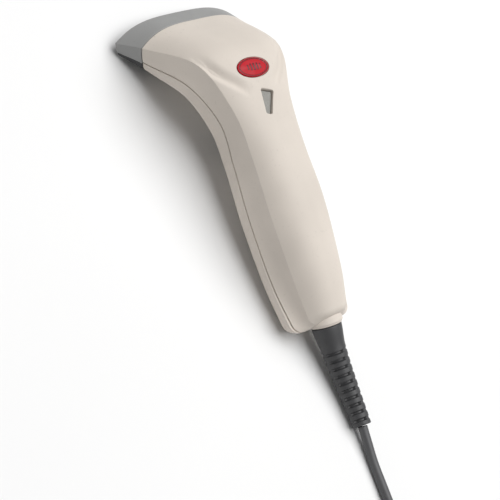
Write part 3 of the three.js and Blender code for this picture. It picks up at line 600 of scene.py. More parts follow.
def shell_grid(section, level, wall):
    """Points of one half of the casing, or of its inside when wall is more than 0. Rows run from the
    parting line up or down the butt's face, round its edge and along to the bumper."""
    radius = BUTT_ROUND - wall
    turn = np.linspace(0, math.pi / 2, ROUND_ROWS + 1)[:-1]
    face = LIP_STEPS + FACE_ROWS
    ahead = np.concatenate([np.full(face, wall), wall + radius * (1 - np.cos(turn))])
    inset = np.concatenate([np.full(face, BUTT_ROUND), wall + radius * (1 - np.sin(turn))])
    joint = JOINT - along_for(GAP / 2, LAST - 1)
    body = np.linspace(along_for(BUTT_ROUND, 0), joint - along_for(LIP, LAST - 1), BODY_ROWS)
    lip = np.linspace(0, math.pi / 2, LIP_STEPS + 1)[1:]
    alongs = np.concatenate([along_for(ahead, 0), body,
                             joint - along_for(LIP * (1 - np.sin(lip)), LAST - 1)])
    inset = np.concatenate([inset, np.full(BODY_ROWS, wall), wall + LIP * (1 - np.cos(lip))])
    s = station(alongs[:, None])
    across, up = section(s, inset[:, None], level)
    if section is upper_section:
        for values in (across, up):
            soften(values, NEAR_RIDGE)
            soften(values, FAR_RIDGE)
    base = (level if section is upper_section else -level) - s["drop"][:face]
    share = np.linspace(0, 1, face + 1)[:-1] ** 1.5
    up[:face] = base + (up[:face] - base) * share[:, None]
    if section is upper_section:
        from_butt = (s["x"] - STATIONS[0, 0]) / SLANT_REACH
        ahead = BACK_SLANT * (1 - ease(from_butt, 0, 1)) * ease(up + s["drop"], 0, 10)
        return spot(s, across, up, ahead)
    return spot(s, across, up)


def normals_of(grid):
    """Unit normals at a grid's points, all on the same side of it."""
    along_rows = np.gradient(grid, axis=0)
    along_columns = np.gradient(grid, axis=1)
    n = np.cross(along_rows, along_columns)
    return n / np.maximum(np.linalg.norm(n, axis=-1, keepdims=True), 1e-9)


# The crescent pressed into the back below the hood, as places along the casing and across its ridge.
CRESCENT = np.array([
    (0.73, 0.95), (0.68, 0.92), (0.654, 0.82), (0.625, 0.60), (0.607, 0.42), (0.586, 0.385)])
CRESCENT_DEPTH, CRESCENT_INNER, CRESCENT_OUTER = 1.45, 2.7, 5.0


def crescent_line(side, count=60):
    """One arm of the crescent, smoothed, as points on the back."""
    place = np.linspace(0, len(CRESCENT) - 1, count)
    alongs, ratio = (np.interp(place, range(len(CRESCENT)), CRESCENT[:, k]) for k in (0, 1))
    for _ in range(25):
        for values in (alongs, ratio):
            values[1:-1] = 0.25 * values[:-2] + 0.5 * values[1:-1] + 0.25 * values[2:]
    s = station(alongs)
    across = side * ratio * s["ridge"]
    return spot(s, across, crown_rise(s, across))


def press_crescents(grid):
    """Moves the outer surface in along the two arms of the crescent."""
    inward = -normals_of(grid)
    if inward[grid.shape[0] // 2, grid.shape[1] // 2, 2] > 0:
        inward = -inward
    for side in (1, -1):
        line = crescent_line(side)
        heading = np.gradient(line, axis=0)
        heading /= np.linalg.norm(heading, axis=1, keepdims=True)
        gap = grid[:, :, None, :] - line
        distance = np.linalg.norm(gap, axis=-1)
        nearest = distance.argmin(-1)
        rows, columns = np.indices(nearest.shape)
        away = gap[rows, columns, nearest]
        outward = np.cross(heading[nearest], -inward) * -side
        offset = (away * outward).sum(-1)
        along_line = nearest / (len(line) - 1)
        strength = ease(along_line, -0.1, 0.2) * (1 - ease(along_line, 0.55, 0.92))
        reach = np.where(offset > 0, CRESCENT_OUTER, CRESCENT_INNER)
        near = np.clip(distance[rows, columns, nearest] / reach, 0, 1)
        fall = 0.5 * (1 + np.cos(math.pi * near))
        grid = grid + inward * (CRESCENT_DEPTH * strength * fall)[..., None]
    return grid


def make_shell(name, section, level):
    """A hollow half of the casing."""
    outer = shell_grid(section, level, 0)
    inner = shell_grid(section, level, WALL)
    if section is upper_section:
        outer = press_crescents(outer)
    points, faces = thick_sheet(outer, inner)
    return new_object(name, row_points(points), faces, "casing")

# ---- Frames and cutting tools ----


def frame_at(frame, x=0.0, y=0.0, z=0.0):
    """The same frame moved along its own axes."""
    origin, axes = frame
    return origin + np.array([x, y, z]) @ np.array(axes), axes


BUTT = section_frame(station(0.0), 0, BOOT_UP)
NOSE = section_frame(station(1.0))


def placed(name, frame, points, faces, *materials):
    """An object whose points are given in a frame of the handle, in millimetres."""
    return new_object(name, row_points(in_frame(frame, points)), faces, *materials)


def block_tool(frame, low, high):
    """A box along a frame's axes."""
    return placed("tool", frame, box_corners(low, high), BOX_FACES, "casing")


def outline_solid(name, frame, outline, levels, material="casing"):
    """A closed body of one outline in a frame's x and y; each level is a height and how much the outline
    grows there, along its own normals."""
    outline = np.asarray(outline, float)
    tangent = np.roll(outline, -1, 0) - np.roll(outline, 1, 0)
    out = np.stack([tangent[:, 1], -tangent[:, 0]], 1)
    out /= np.linalg.norm(out, axis=1, keepdims=True)
    rows = [np.column_stack([outline + out * grow, np.full(len(outline), z)]) for z, grow in levels]
    points, faces = rings(np.array(rows))
    return placed(name, frame, points, faces, material)


def oval_outline(length, width, sides=96):
    """An oval with its length along y, as the badge has, anticlockwise."""
    return circle(sides) * (width / 2, length / 2)


def rounded_outline(corners, radius, steps=6):
    """An anticlockwise polygon with rounded corners."""
    corners = np.asarray(corners, float)
    points = []
    for k in range(len(corners)):
        here, before, after = corners[k], corners[k - 1], corners[(k + 1) % len(corners)]
        to_before = (before - here) / np.linalg.norm(before - here)
        to_after = (after - here) / np.linalg.norm(after - here)
        half = math.acos(np.clip(to_before @ to_after, -1, 1)) / 2
        reach = radius / math.tan(half)
        bisector = (to_before + to_after) / np.linalg.norm(to_before + to_after)
        middle = here + bisector * radius / math.sin(half)
        first, last = here + to_before * reach - middle, here + to_after * reach - middle
        start = math.atan2(first[1], first[0])
        swing = (math.atan2(last[1], last[0]) - start + math.pi) % (2 * math.pi) - math.pi
        for angle in start + swing * np.linspace(0, 1, steps + 1):
            points.append(middle + radius * np.array([math.cos(angle), math.sin(angle)]))
    return np.array(points)


def rounded_box(low, high, radius, steps):
    """A rounded rectangle between two opposite corners."""
    return rounded_outline([low, (high[0], low[1]), high, (low[0], high[1])], radius, steps)


def plate_outline(wide, tall, corner):
    """A rounded rectangle about the middle of a frame."""
    return rounded_box((-wide / 2, -tall / 2), (wide / 2, tall / 2), corner, 8)


def wedge_outline(grow, radius):
    """The status window's outline, wider ahead, grown by an amount."""
    s, e = station(STATUS["start"]), station(STATUS["end"])
    half = math.hypot(e["x"] - s["x"], e["z"] - s["z"]) / 2 + grow
    wide, narrow = STATUS["wide"] / 2 + grow, STATUS["narrow"] / 2 + grow
    return rounded_outline([(-half, -narrow), (half, -wide), (half, wide), (-half, narrow)], radius)


def rod_tool(frame, radius, low, high, sides=48):
    """A rod along a frame's z."""
    return outline_solid("tool", frame, circle(sides) * radius, [(low, 0), (high, 0)])


def axis_first(frame):
    """The same frame with its x as z, for tools that run along x."""
    origin, (x, y, z) = frame
    return origin, (y, z, x)


BADGE_FRAME = frame_on_back(BADGE["at"], BADGE["across"], BADGE["width"] / 2, BADGE["turn"])
STATUS_S = station((STATUS["start"] + STATUS["end"]) / 2)
STATUS_FRAME = section_frame(STATUS_S, STATUS["across"], float(STATUS_S["crown"]), STATUS["turn"])
SCREW_FRAMES = []
for side in (-1, 1):
    SCREW_FRAMES.append((np.array([12, 11.5 * side, -8.2]), np.eye(3)))
    SCREW_FRAMES.append(frame_at(NOSE, -27, 22.5 * side, -12.6))

# ---- Casing ----


def show(obj, body, slot, *nodes):
    """Attaches a finished piece to its body and hides the CAD nodes that it stands for. Its slot argument is
    not used.
    """
    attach(obj, body)
    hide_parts(*nodes)
    return obj


def skin_solid(inset):
    """The whole casing's outer body, shrunk, as a tool for trimming bosses."""
    alongs = np.linspace(along_for(BUTT_ROUND, 0), 1, 60)[:, None]
    s = station(alongs)
    up_across, up_up = upper_section(s, inset, 0.0)
    low_across, low_up = lower_section(s, inset, 0.0)
    across = np.concatenate([up_across[:, ::4], low_across[:, ::-4]], 1)
    up = np.concatenate([up_up[:, ::4], low_up[:, ::-4]], 1)
    points, faces = rings(spot(s, across, up))
    return new_object("skin", row_points(points), faces, "casing")


def floor_tool():
    """Everything below the surface that the scanner rests on, in the row frame."""
    return new_object("tool", box_corners((-0.3, -0.3, -0.2), (0.3, 0.3, 0.0)), BOX_FACES, "casing")


def collar(low, high):
    """The part of the collar round the strain relief between two heights in the butt's frame."""
    profile = [(-0.1, 5.4), (-0.5, 5.9)] + arc((-0.2, 7.3), 0.3, 180, 90, 3)
    profile += [(0.773654, 8.273654), (5.5, 7.8), (5.5, 5.4)]
    points, faces = turned(profile, BUTT, 72)
    ring = new_object("collar", row_points(points), faces, "casing")
    return carve(ring, block_tool(BUTT, (-20, -20, low), (20, 20, high)), "INTERSECT")


SEAM_IN_BUTT = float(-station(0.0)["drop"]) - BOOT_UP

upper = make_shell("upper_casing", upper_section, GAP / 2)
carve(upper, collar(SEAM_IN_BUTT + GAP / 2, 30), "UNION")
carve(upper, rod_tool(axis_first(BUTT), BOOT_BORE, -20, 20, 72))
badge_hole = oval_outline(BADGE["length"] + 0.5, BADGE["width"] + 0.5)
carve(upper, outline_solid("tool", BADGE_FRAME, badge_hole,
                           [(-1.3, 0), (-0.6, 0), (0.1, 0.25), (6, 0.25 + 5.9)]))
carve(upper, outline_solid("tool", STATUS_FRAME, wedge_outline(0.25, 0.7),
                           [(-8, 0), (-0.45, 0), (-0.1, 0.12), (0.3, 0.42), (5, 0.42 + 4.7)]))
show(upper, "housing", "casing", "upper_shell")


def trigger_section(across_half, high, low, corner, steps):
    """A closed ring round the trigger's section: across it, and out of the underside."""
    return rounded_box((-across_half, -low), (across_half, high), corner, steps).T


def trigger_tool(grow, out, into):
    """The trigger's opening, grown by a gap round it."""
    alongs = np.linspace(TRIGGER["start"] - along_for(grow, 3), TRIGGER["end"] + along_for(grow, 4), 24)
    s = station(alongs[:, None])
    y, high = trigger_section(TRIGGER["width"] / 2 + grow, out, into, 0.9, 4)
    points, faces = rings(spot(s, y[None, :] + 0 * s["depth"], -s["depth"] - high[None, :]))
    return new_object("tool", row_points(points), faces, "casing")


lower = make_shell("lower_casing", lower_section, GAP / 2)
carve(lower, collar(-30, SEAM_IN_BUTT - GAP / 2), "UNION")
carve(lower, rod_tool(axis_first(BUTT), BOOT_BORE, -20, 20, 72))
boss_room = skin_solid(0.7)
for frame_of_screw in SCREW_FRAMES:
    boss = rod_tool(frame_of_screw, SCREW_BOSS, -14, 6, 40)
    trim = boss_room.copy()
    trim.data = boss_room.data.copy()
    bpy.context.scene.collection.objects.link(trim)
    carve(boss, trim, "INTERSECT")
    carve(lower, boss, "UNION")
bpy.data.objects.remove(boss_room)
for frame_of_screw in SCREW_FRAMES:
    carve(lower, rod_tool(frame_of_screw, SCREW_HEAD_HOLE, -20, 0, 48))
    carve(lower, rod_tool(frame_of_screw, SCREW_SHANK_HOLE, -1, 30, 32))
carve(lower, trigger_tool(0.6, 6, 7))
carve(lower, floor_tool())
show(lower, "housing", "casing", "lower_shell")

# ---- Nose bumper ----

WINDOW = dict(wide=52, tall=7, corner=2.5, z=-0.6)


def full_section(s, inset):
    """A ring round the whole casing: over the top, down one side, round the belly and up the other."""
    up_across, up_up = upper_section(s, inset, 0.0)
    for values in (up_across, up_up):
        soften(values, NEAR_RIDGE, 5, 3)
        soften(values, FAR_RIDGE, 5, 3)
    low_across, low_up = lower_section(s, inset, 0.0)
    lips = LIP_STEPS
    across = np.concatenate([up_across[:, lips:-lips], low_across[:, -lips - 2:lips:-1]], 1)
    up = np.concatenate([up_up[:, lips:-lips], low_up[:, -lips - 2:lips:-1]], 1)
    return across, up


def ring_rows(alongs, inset, ahead=0.0):
    """Rings round the casing at places along it, each shrunk by its inset and moved ahead."""
    s = station(np.atleast_1d(alongs)[:, None])
    across, up = full_section(s, np.atleast_1d(inset)[:, None])
    return spot(s, across, up, np.atleast_1d(ahead)[:, None])


def black_front_and_painted_shade_below(obj, dark):
    """Gives the faces facing ahead a second, near-black material, and gives it to the faces under the
    parting line as painted shade on the underside.
    """
    mesh = obj.data
    count = len(mesh.polygons)
    centre, normal = np.zeros(count * 3), np.zeros(count * 3)
    mesh.polygons.foreach_get("center", centre)
    mesh.polygons.foreach_get("normal", normal)
    centre = centre.reshape(-1, 3) / MM - HANDLE_ORIGIN
    c, n = math.cos(PITCH), math.sin(PITCH)
    x = centre[:, 0] * c + centre[:, 2] * n
    z = -centre[:, 0] * n + centre[:, 2] * c
    s = station(np.linspace(0.85, 1, 60))
    gap_x, gap_z = x[:, None] - s["x"], z[:, None] - s["z"]
    off = np.abs(gap_x * s["tx"] + gap_z * s["tz"])
    k = off.argmin(1)
    rows = np.arange(count)
    up = gap_x[rows, k] * -s["tz"][k] + gap_z[rows, k] * s["tx"][k]
    normal = normal.reshape(-1, 3)
    facing = normal @ ((row_points(NOSE[1][0]) - row_points(np.zeros(3))) / MM)
    # painted shade: faces under the parting line are coloured near-black to stand for the shaded underside
    low = up < -s["drop"][k] - 0.5
    mesh.polygons.foreach_set("material_index", np.where(low | (facing > 0.8), dark, 0).astype(np.int32))


def make_bumper():
    """The bumper's skin, from the inside of its front wall back round its lip to its rounded nose."""
    back = JOINT + along_for(GAP / 2, LAST - 1)
    turn = np.linspace(0, math.pi / 2, 5)
    lip_along = back + along_for(LIP * (1 - np.sin(turn)), LAST - 1)
    front = 1 - along_for(FRONT_WALL, LAST - 1)
    inner = ring_rows(np.linspace(front, back, 16), np.full(16, WALL))
    lip = ring_rows(lip_along[::-1][:-1], (LIP * (1 - np.cos(turn)))[::-1][:-1])
    body = ring_rows(np.linspace(lip_along[0], 1, 34), np.zeros(34))
    curve = np.linspace(0, math.pi / 2, 8)[1:]
    nose = ring_rows(np.ones(7), NOSE_ROUND * (1 - np.cos(curve)), 0.7 * NOSE_ROUND * np.sin(curve))
    points, faces = rings(np.concatenate([inner, lip, body, nose]))
    return new_object("nose_cover", row_points(points), faces, "bumper", "bumper_black_and_painted_shade")


bumper = make_bumper()
WINDOW_FRAME = axis_first(frame_at(NOSE, 0, 0, WINDOW["z"]))
opening = plate_outline(WINDOW["wide"], WINDOW["tall"], WINDOW["corner"])
carve(bumper, outline_solid("tool", WINDOW_FRAME, opening,
                            [(-6, 0), (0.1, 0), (0.5, 0.15), (0.84, 0.5), (4, 3.66)]))
carve(bumper, floor_tool())
# painted shade: the bumper's underside takes the near-black material
black_front_and_painted_shade_below(bumper, 1)
show(bumper, "housing", "bumper", "nose_bumper")

pane_z = -FRONT_WALL - GAP - 1.5
pane_levels = [(pane_z, -0.3), (pane_z + 0.3, 0), (pane_z + 1.2, 0), (pane_z + 1.5, -0.3)]
pane = outline_solid("window_pane", WINDOW_FRAME, plate_outline(56, 8.7, 3), pane_levels, "window")
show(smooth(pane), "housing", "window", "scan_window")

# ---- Badge and status window ----


def make_badge():
    """A domed oval with a rolled rim, a sunk dark ring and five small bars."""
    rim = [(0.999, -BADGE["sunk"]), (1.0, -0.1), (0.992, 0.12), (0.975, 0.26), (0.95, 0.33), (0.925, 0.3)]
    groove = [(0.905, 0.2), (0.89, 0.12), (0.87, 0.1), (0.85, 0.12), (0.835, 0.2), (0.81, 0.3)]
    dome = [(r, 0.3 + 0.42 * (1 - (r / 0.81) ** 2)) for r in np.linspace(0.76, 0.04, 16)]
    half_x, half_y = BADGE["width"] / 2, BADGE["length"] / 2
    rows = []
    for r, z in rim + groove + dome:
        shrink = (1 - r) * half_x
        oval = circle(144) * (half_x - shrink, half_y - shrink * (1 + r))
        rows.append(np.column_stack([oval, np.full(144, z)]))
    points, faces = rings(np.array(rows))
    obj = placed("badge_plate", BADGE_FRAME, points, faces, "badge", "badge_dark")
    for polygon in obj.data.polygons:
        x, y = badge_place(polygon.center)
        polygon.material_index = 1 if 0.83 < math.hypot(x / half_x, y / half_y) < 0.93 else 0
    places = ((-3.6, 2.6), (-1.9, 3.4), (-0.2, 3.6), (1.5, 3.4), (3.2, 2.6))
    bars = [badge_bar(y, tall) for y, tall in places]
    return fuse(obj, *bars)


def badge_place(point):
    """A row-frame point's place in the badge's frame, across and along it, in millimetres."""
    origin = row_points(BADGE_FRAME[0])
    axes = row_points(BADGE_FRAME[0] + np.array(BADGE_FRAME[1])) - origin
    gap = np.array(point) - origin
    return gap @ axes[0] / MM**2, gap @ axes[1] / MM**2


def badge_bar(y, tall):
    """A bar across the badge at a place along it, standing just proud of the dome."""
    outline = rounded_box((-tall / 2, y - 0.45), (tall / 2, y + 0.45), 0.3, 5)
    top = 0.86 - 0.011 * y * y
    levels = [(0.1, 0), (top - 0.08, 0), (top, -0.1)]
    return outline_solid("bar", BADGE_FRAME, outline, levels, "badge_dark")


badge = make_badge()
show(smooth(badge, 50), "housing", "badge", "badge")

lens = outline_solid("status_window", STATUS_FRAME, wedge_outline(0.1, 0.6),
                     [(-STATUS["sunk"] - STATUS["thick"], 0), (-STATUS["sunk"] - 0.2, 0),
                      (-STATUS["sunk"], -0.2)], "status")
show(smooth(lens), "housing", "status_lens", "status_lens")

# ---- Trigger ----


def make_trigger():
    """A plate that follows the underside, with rounded edges and grip ribs, its knuckle and its post."""
    alongs = np.linspace(TRIGGER["start"], TRIGGER["end"], 90)
    part = np.linspace(0, 1, 90)
    rows = []
    for along, f in zip(alongs, part):
        s = station(along)
        rounding = edge_inset(min(f, 1 - f) * TRIGGER["length"], TRIGGER["round"])
        wave = math.cos(2 * math.pi * f * TRIGGER["length"] / TRIGGER["rib_pitch"])
        ribs = 0.16 * wave * ease(f, 0.18, 0.24) * (1 - ease(f, 0.78, 0.84))
        dish = -0.5 * math.sin(math.pi * f)
        half = TRIGGER["width"] / 2 - rounding
        y, out = trigger_section(half, TRIGGER["proud"] - rounding, TRIGGER["sunk"] - rounding, 1.3, 6)
        top = ease(out, 0, 1)
        side = np.clip(1 - (y / 6.6) ** 4, 0, 1)
        rows.append(spot(s, y, -s["depth"] - out - (ribs * side + dish * side) * top))
    points, faces = rings(np.array(rows))
    plate = new_object("trigger_lever", row_points(points), faces, "trigger")
    hinge = station(TRIGGER["start"] + 0.026)
    pin = spot(hinge, 0, 5.8 - hinge["depth"])
    pin_frame = (pin, (np.array([0.0, 0, 1]), np.array([1.0, 0, 0]), np.array([0.0, 1, 0])))
    carve(plate, rod_tool(pin_frame, 2.7, -6, 6, 48), "UNION")
    carve(plate, block_tool((pin, np.eye(3)), (-1.6, -6, -4.4), (1.6, 6, -0.4)), "UNION")
    board = (np.array([62.0, 0, -9.9]), board_axes())
    place = (pin - board[0]) @ np.array(board[1]).T
    press = np.array([place[0] + 10, 0, place[2] + 0.6])
    post = block_tool(board, (press[0] - 1.3, -3.5, press[2] - 6), (press[0] + 1.3, 3.5, press[2]))
    carve(plate, post, "UNION")
    return carve(plate, rod_tool(pin_frame, 1.4, -20, 20, 40))


def board_axes():
    """The main board's axes in the handle's frame."""
    t = math.radians(8.9)
    return np.array([[math.cos(t), 0, -math.sin(t)], [0, 1, 0], [math.sin(t), 0, math.cos(t)]])


show(smooth(make_trigger(), 32), "trigger", "trigger", "trigger")

# ---- Screws ----


def make_screw(index, frame):
    """A domed screw head with a cross recess, on a threaded shank."""
    profile = [(-1.8, 0.01), (-1.8, 1.6)]
    for t in np.linspace(0.2, math.pi / 2, 6):
        profile.append((-1.8 + 0.7 * (1 - math.cos(t)), 1.8 + 0.8 * math.sin(t)))
    profile += [(-GAP, 2.6), (-GAP, 1.2)]
    for k in range(10):
        profile += [(0.3 + 0.75 * k, 1.2), (0.55 + 0.75 * k, 1.45), (0.8 + 0.75 * k, 1.2)]
    profile += [(8.0, 1.0), (9.2, 0.01)]
    x, y, z = frame[1]
    points, faces = turned(profile, (frame[0], (z, x, y)), 40)
    obj = new_object(f"screw_head_{index}", row_points(points), faces, "screw")
    for wide, long in ((0.35, 1.5), (1.5, 0.35)):
        carve(obj, block_tool(frame, (-long, -wide, -3), (long, wide, -0.9)))
    return smooth(obj, 30)


for number, frame_of_screw in enumerate(SCREW_FRAMES, 1):
    show(make_screw(number, frame_of_screw), "housing", "screw", f"screw_{number}")
for shell in (upper, lower, bumper):
    smooth(shell, 34)

# ---- Strain relief ----

BOOT_ROOT = np.array([-58.195, 0, 12.444])
BOOT_AHEAD = np.array([-0.959, 0, -0.284])
BOOT_TIP = np.array([-107.195, 0, 4.7])
TIP_HEADING = np.array([-0.9962, 0.0872, 0])
RING_SIDES = 96
SLOT_TURN = math.radians(36)      # turns the slots between the ribs towards the near side


def boot_path(count):
    """Centres and directions of rings at even distances along the strain relief."""
    a, b = BOOT_ROOT, BOOT_ROOT + 16 * BOOT_AHEAD
    c, d = BOOT_TIP - 20 * TIP_HEADING, BOOT_TIP
    t = np.linspace(0, 1, 2001)[:, None]
    line = a * (1 - t) ** 3 + 3 * b * t * (1 - t) ** 2 + 3 * c * t**2 * (1 - t) + d * t**3
    length = np.concatenate([[0], np.cumsum(np.linalg.norm(np.diff(line, axis=0), axis=1))])
    place = np.linspace(0, length[-1], count)
    centres = np.stack([np.interp(place, length, line[:, k]) for k in range(3)], 1)
    ahead = np.gradient(centres, axis=0)
    return centres, ahead / np.linalg.norm(ahead, axis=1, keepdims=True)


def boot_ring(centre, ahead, radius):
    """A ring square to a direction, whose radius may differ round it."""
    side = np.array([0.0, 1.0, 0.0]) - ahead * ahead[1]
    side /= np.linalg.norm(side)
    rise = np.cross(ahead, side)
    out = circle(RING_SIDES) @ np.stack([side, rise])
    return centre + out * np.broadcast_to(radius, RING_SIDES)[:, None]


def make_boot():
    """A smooth root, then ten ribs whose grooves are cut deeper on the top and underneath."""
    rows = []
    flange = ((5.8, 6.3), (5.6, 6.6), (4.6, 6.6), (4.4, 6.4), (4.4, 5.0), (0.1, 5.0), (0.0, 5.3), (0.0, 6.7))
    for back, radius in flange:
        rows.append(boot_ring(BOOT_ROOT - BOOT_AHEAD * back, BOOT_AHEAD, radius))
    count = 260
    centres, heads = boot_path(count)
    part = np.linspace(0, 1, count)
    rib_start = BOOT["smooth"] / BOOT["length"]
    turn = np.linspace(0, 2 * math.pi, RING_SIDES, endpoint=False)
    deep = 1 - ease(np.abs(np.cos(turn - SLOT_TURN)), 0.6, 0.72)
    for f, centre, ahead in zip(part, centres, heads):
        if f < rib_start:
            radius = BOOT["root"] + (BOOT["waist"] - BOOT["root"]) * ease(f, 0, rib_start)
        else:
            radius = BOOT["waist"] + (BOOT["tip"] - BOOT["waist"]) * (f - rib_start) / (1 - rib_start)
        phase = (f - rib_start) / (1 - rib_start) * BOOT["ribs"]
        within = phase - math.floor(phase) if 0 <= phase < BOOT["ribs"] else 0.0
        cut = ease(within, 0.04, 0.16) * (1 - ease(within, 0.38, 0.5))
        end = min(f, 1 - f) * BOOT["length"]
        rounding = edge_inset(end, 0.5)
        rows.append(boot_ring(centre, ahead, radius - rounding - cut * (0.3 + 1.2 * deep)))
    points, faces = rings(np.array(rows))
    return smooth(new_object("cable_boot", points * MM, faces, "boot"), 40)


show(make_boot(), "housing", "boot", "strain_relief")

# ---- Cable ----

CABLE_ROUTE = [(-107.494, 0.026, 4.7), (-115.164, 0.697, 3.6), (-125.126, 1.569, 2.35),
               (-137.081, 2.615, 2.3), (-149.035, 3.661, 2.3), (-163.978, 4.968, 2.3)]
COIL_CENTRE = np.array([-179.426, 34.928])
COIL_RADII = (28.5, 24.0, 19.5)
COIL_LEVELS = (2.3, 6.77, 11.24, 15.71)
ENTRY = math.radians(-95)
LEAD_RADIUS = 33.6
LEAD_OUT = ((50, 15.4), (78, 14.0), (106, 10.8), (134, 6.8), (158, 4.3))
LEAD_END = [(-176.601, 68.647, 3.8), (-169.605, 68.891, 3.8), (-162.609, 69.136, 3.8)]
LEAD_HEADING = np.array([0.99939, 0.0349, 0])


def past_entry(degrees, radius, z):
    """A point on the coil, so many degrees on from where the cable enters it."""
    turn = ENTRY - math.radians(degrees)
    return (COIL_CENTRE[0] + radius * math.cos(turn), COIL_CENTRE[1] + radius * math.sin(turn), z)


def coil_points():
    """Twelve turns, layer on layer, in and out in turn, with each step over made near the entry."""
    places = []
    for level, z in enumerate(COIL_LEVELS):
        radii = COIL_RADII if level % 2 == 0 else COIL_RADII[::-1]
        places += [(r, z) for r in radii]
    points = []
    for k, (r, z) in enumerate(places):
        next_r, next_z = places[min(k + 1, len(places) - 1)]
        for degrees in range(0, 360, 6):
            t = float(ease(degrees, 318, 358))
            bulge = 1.2 * math.sin(math.pi * t) * (1 if next_z != z else 0) * (1 if r > 24 else -1)
            points.append(past_entry(degrees, r + (next_r - r) * t + bulge, z + (next_z - z) * t))
    return points


def catmull(points, steps):
    """Points on a smooth line through points."""
    p = np.asarray(points, float)
    p = np.vstack([2 * p[0] - p[1], p, 2 * p[-1] - p[-2]])
    made = []
    for k in range(1, len(p) - 2):
        a, b, c, d = p[k - 1:k + 3]
        for t in np.linspace(0, 1, steps, endpoint=False):
            made.append(spline(a, b, c, d, t))
    made.append(p[-2])
    return made


def make_cable():
    """The cable as one round curve, and its length in metres."""
    coil = coil_points()
    route = catmull(CABLE_ROUTE + coil[:1], 8)[:-1]
    lead = [coil[-1], past_entry(8, 28.6, 15.7), past_entry(28, 31.2, 15.6)]
    lead += [past_entry(a, LEAD_RADIUS, z) for a, z in LEAD_OUT] + LEAD_END
    line = np.array(route + coil[:-1] + catmull(lead, 8))
    data = bpy.data.curves.new("cable_run", "CURVE")
    data.dimensions = "3D"
    data.bevel_depth = CABLE_R * MM
    data.bevel_resolution = 6
    data.use_fill_caps = True
    strand = data.splines.new("POLY")
    strand.points.add(len(line) - 1)
    strand.points.foreach_set("co", np.column_stack([line * MM, np.ones(len(line))]).ravel())
    strand.use_smooth = True
    data.materials.append(MATERIALS["cable"])
    obj = bpy.data.objects.new("cable_run", data)
    bpy.context.scene.collection.objects.link(obj)
    return obj, float(np.linalg.norm(np.diff(line, axis=0), axis=1).sum()) * MM


cable, cable_length = make_cable()
show(cable, "housing", "cable", "cable", "cable_coil", "plug_lead")

# ---- Plug ----

PLUG_ORIGIN = np.array([*LEAD_END[-1][:2], 0]) + GAP * LEAD_HEADING
PLUG_AXES = np.array([LEAD_HEADING, (-LEAD_HEADING[1], LEAD_HEADING[0], 0), (0, 0, 1)])
PLUG_Z = 3.8


def in_plug(points):
    """Points in the plug's frame, in millimetres, as points in the row frame, in metres."""
    return (PLUG_ORIGIN + np.asarray(points, float) @ PLUG_AXES) * MM


def plug_box(name, low, high, material):
    return new_object(name, in_plug(box_corners(low, high)), BOX_FACES, material)


def plug_rings(name, levels, material):
    """A body of rounded rectangles along the plug; each level is x, width, height and corner."""
    rows = []
    for x, wide, tall, corner in levels:
        o = plate_outline(wide, tall, corner)
        rows.append(np.column_stack([np.full(len(o), x), o[:, 0], o[:, 1] + PLUG_Z]))
    points, faces = rings(np.array(rows))
    return new_object(name, in_plug(points), faces, material)


def rib(at, ridge, groove, steps):
    """Four levels of a grip's groove: from one ridge down into it and up to the next."""
    down, along, up = steps
    return [(at, *ridge), (at + down, *groove), (at + along, *groove), (at + up, *ridge)]


def make_grip():
    """The plug's grip: a ribbed neck, a shoulder and a ribbed body."""
    levels = [(0, 5.2, 5.2, 2.4), (0.3, 5.8, 5.8, 2.7)]
    for k in range(3):
        ridge = (6.2 + 0.5 * k, 6.0 + 0.2 * k, 2.7)
        groove = (5.4 + 0.5 * k, 5.4 + 0.2 * k, 2.4)
        levels += rib(0.9 + 1.5 * k, ridge, groove, (0.4, 0.8, 1.1))
    levels += [(5.6, 8.6, 6.6, 2.8), (6.4, 11.6, 7.1, 2.8), (7.4, 13.6, 7.4, 2.6), (8.6, 14.3, 7.55, 2.4)]
    for k in range(5):
        levels += rib(10 + 1.6 * k, (14.4, 7.6, 2.2), (13.6, 7.3, 2.0), (0.35, 0.8, 1.15))
    levels += [(20.6, 14.3, 7.5, 2.2), (21.6, 13.9, 7.2, 2.1), (22.0, 13.2, 6.6, 1.8)]
    return smooth(plug_rings("plug_grip", levels, "boot"), 50)


def make_plug_shell():
    """A folded metal sleeve, open in front, with two square holes in its top and a rolled front edge."""
    obj = plug_rings("plug_sleeve", [(22.3, 11.9, 4.4, 0.5), (22.4, 12, 4.5, 0.6), (35.0, 12, 4.5, 0.6),
                                     (35.3, 11.7, 4.2, 0.5)], "can")
    room = plug_rings("tool", [(22.8, 11.2, 3.7, 0.35), (34.9, 11.2, 3.7, 0.35), (35.2, 11.4, 3.9, 0.4),
                               (36, 11.4, 3.9, 0.4)], "can")
    carve(obj, room)
    for y in (-2.75, 2.75):
        for z in (3, -3):
            middle = PLUG_Z + z
            carve(obj, plug_box("tool", (27.6, y - 1.15, middle - 2), (30.0, y + 1.15, middle + 2), "can"))
    carve(obj, plug_box("tool", (22, -0.06, PLUG_Z - 2.6), (36, 0.06, PLUG_Z - 2.12), "can"))
    return smooth(obj, 30)


def make_tongue():
    """The tongue with its four contacts, the outer two of which reach further forward."""
    tongue = bevel(plug_box("plug_tongue", (24.0, -5.2, 4.45), (34.7, 5.2, 5.3), "black"), 0.15)
    contacts = []
    for y, front in ((-3.5, 33.8), (-1.1, 33.2), (1.1, 33.2), (3.5, 33.8)):
        contact = plug_box("contact", (25.2, y - 0.5, 4.28), (front, y + 0.5, 4.6), "gold")
        contacts.append(bevel(contact, 0.06))
    return smooth(fuse(tongue, *contacts), 30)


grip = show(make_grip(), "housing", "boot", "usb_grip")
sleeve = show(make_plug_shell(), "housing", "can", "usb_shell")
tongue = show(make_tongue(), "housing", "black", "usb_tongue")

# ---- Cable tie ----


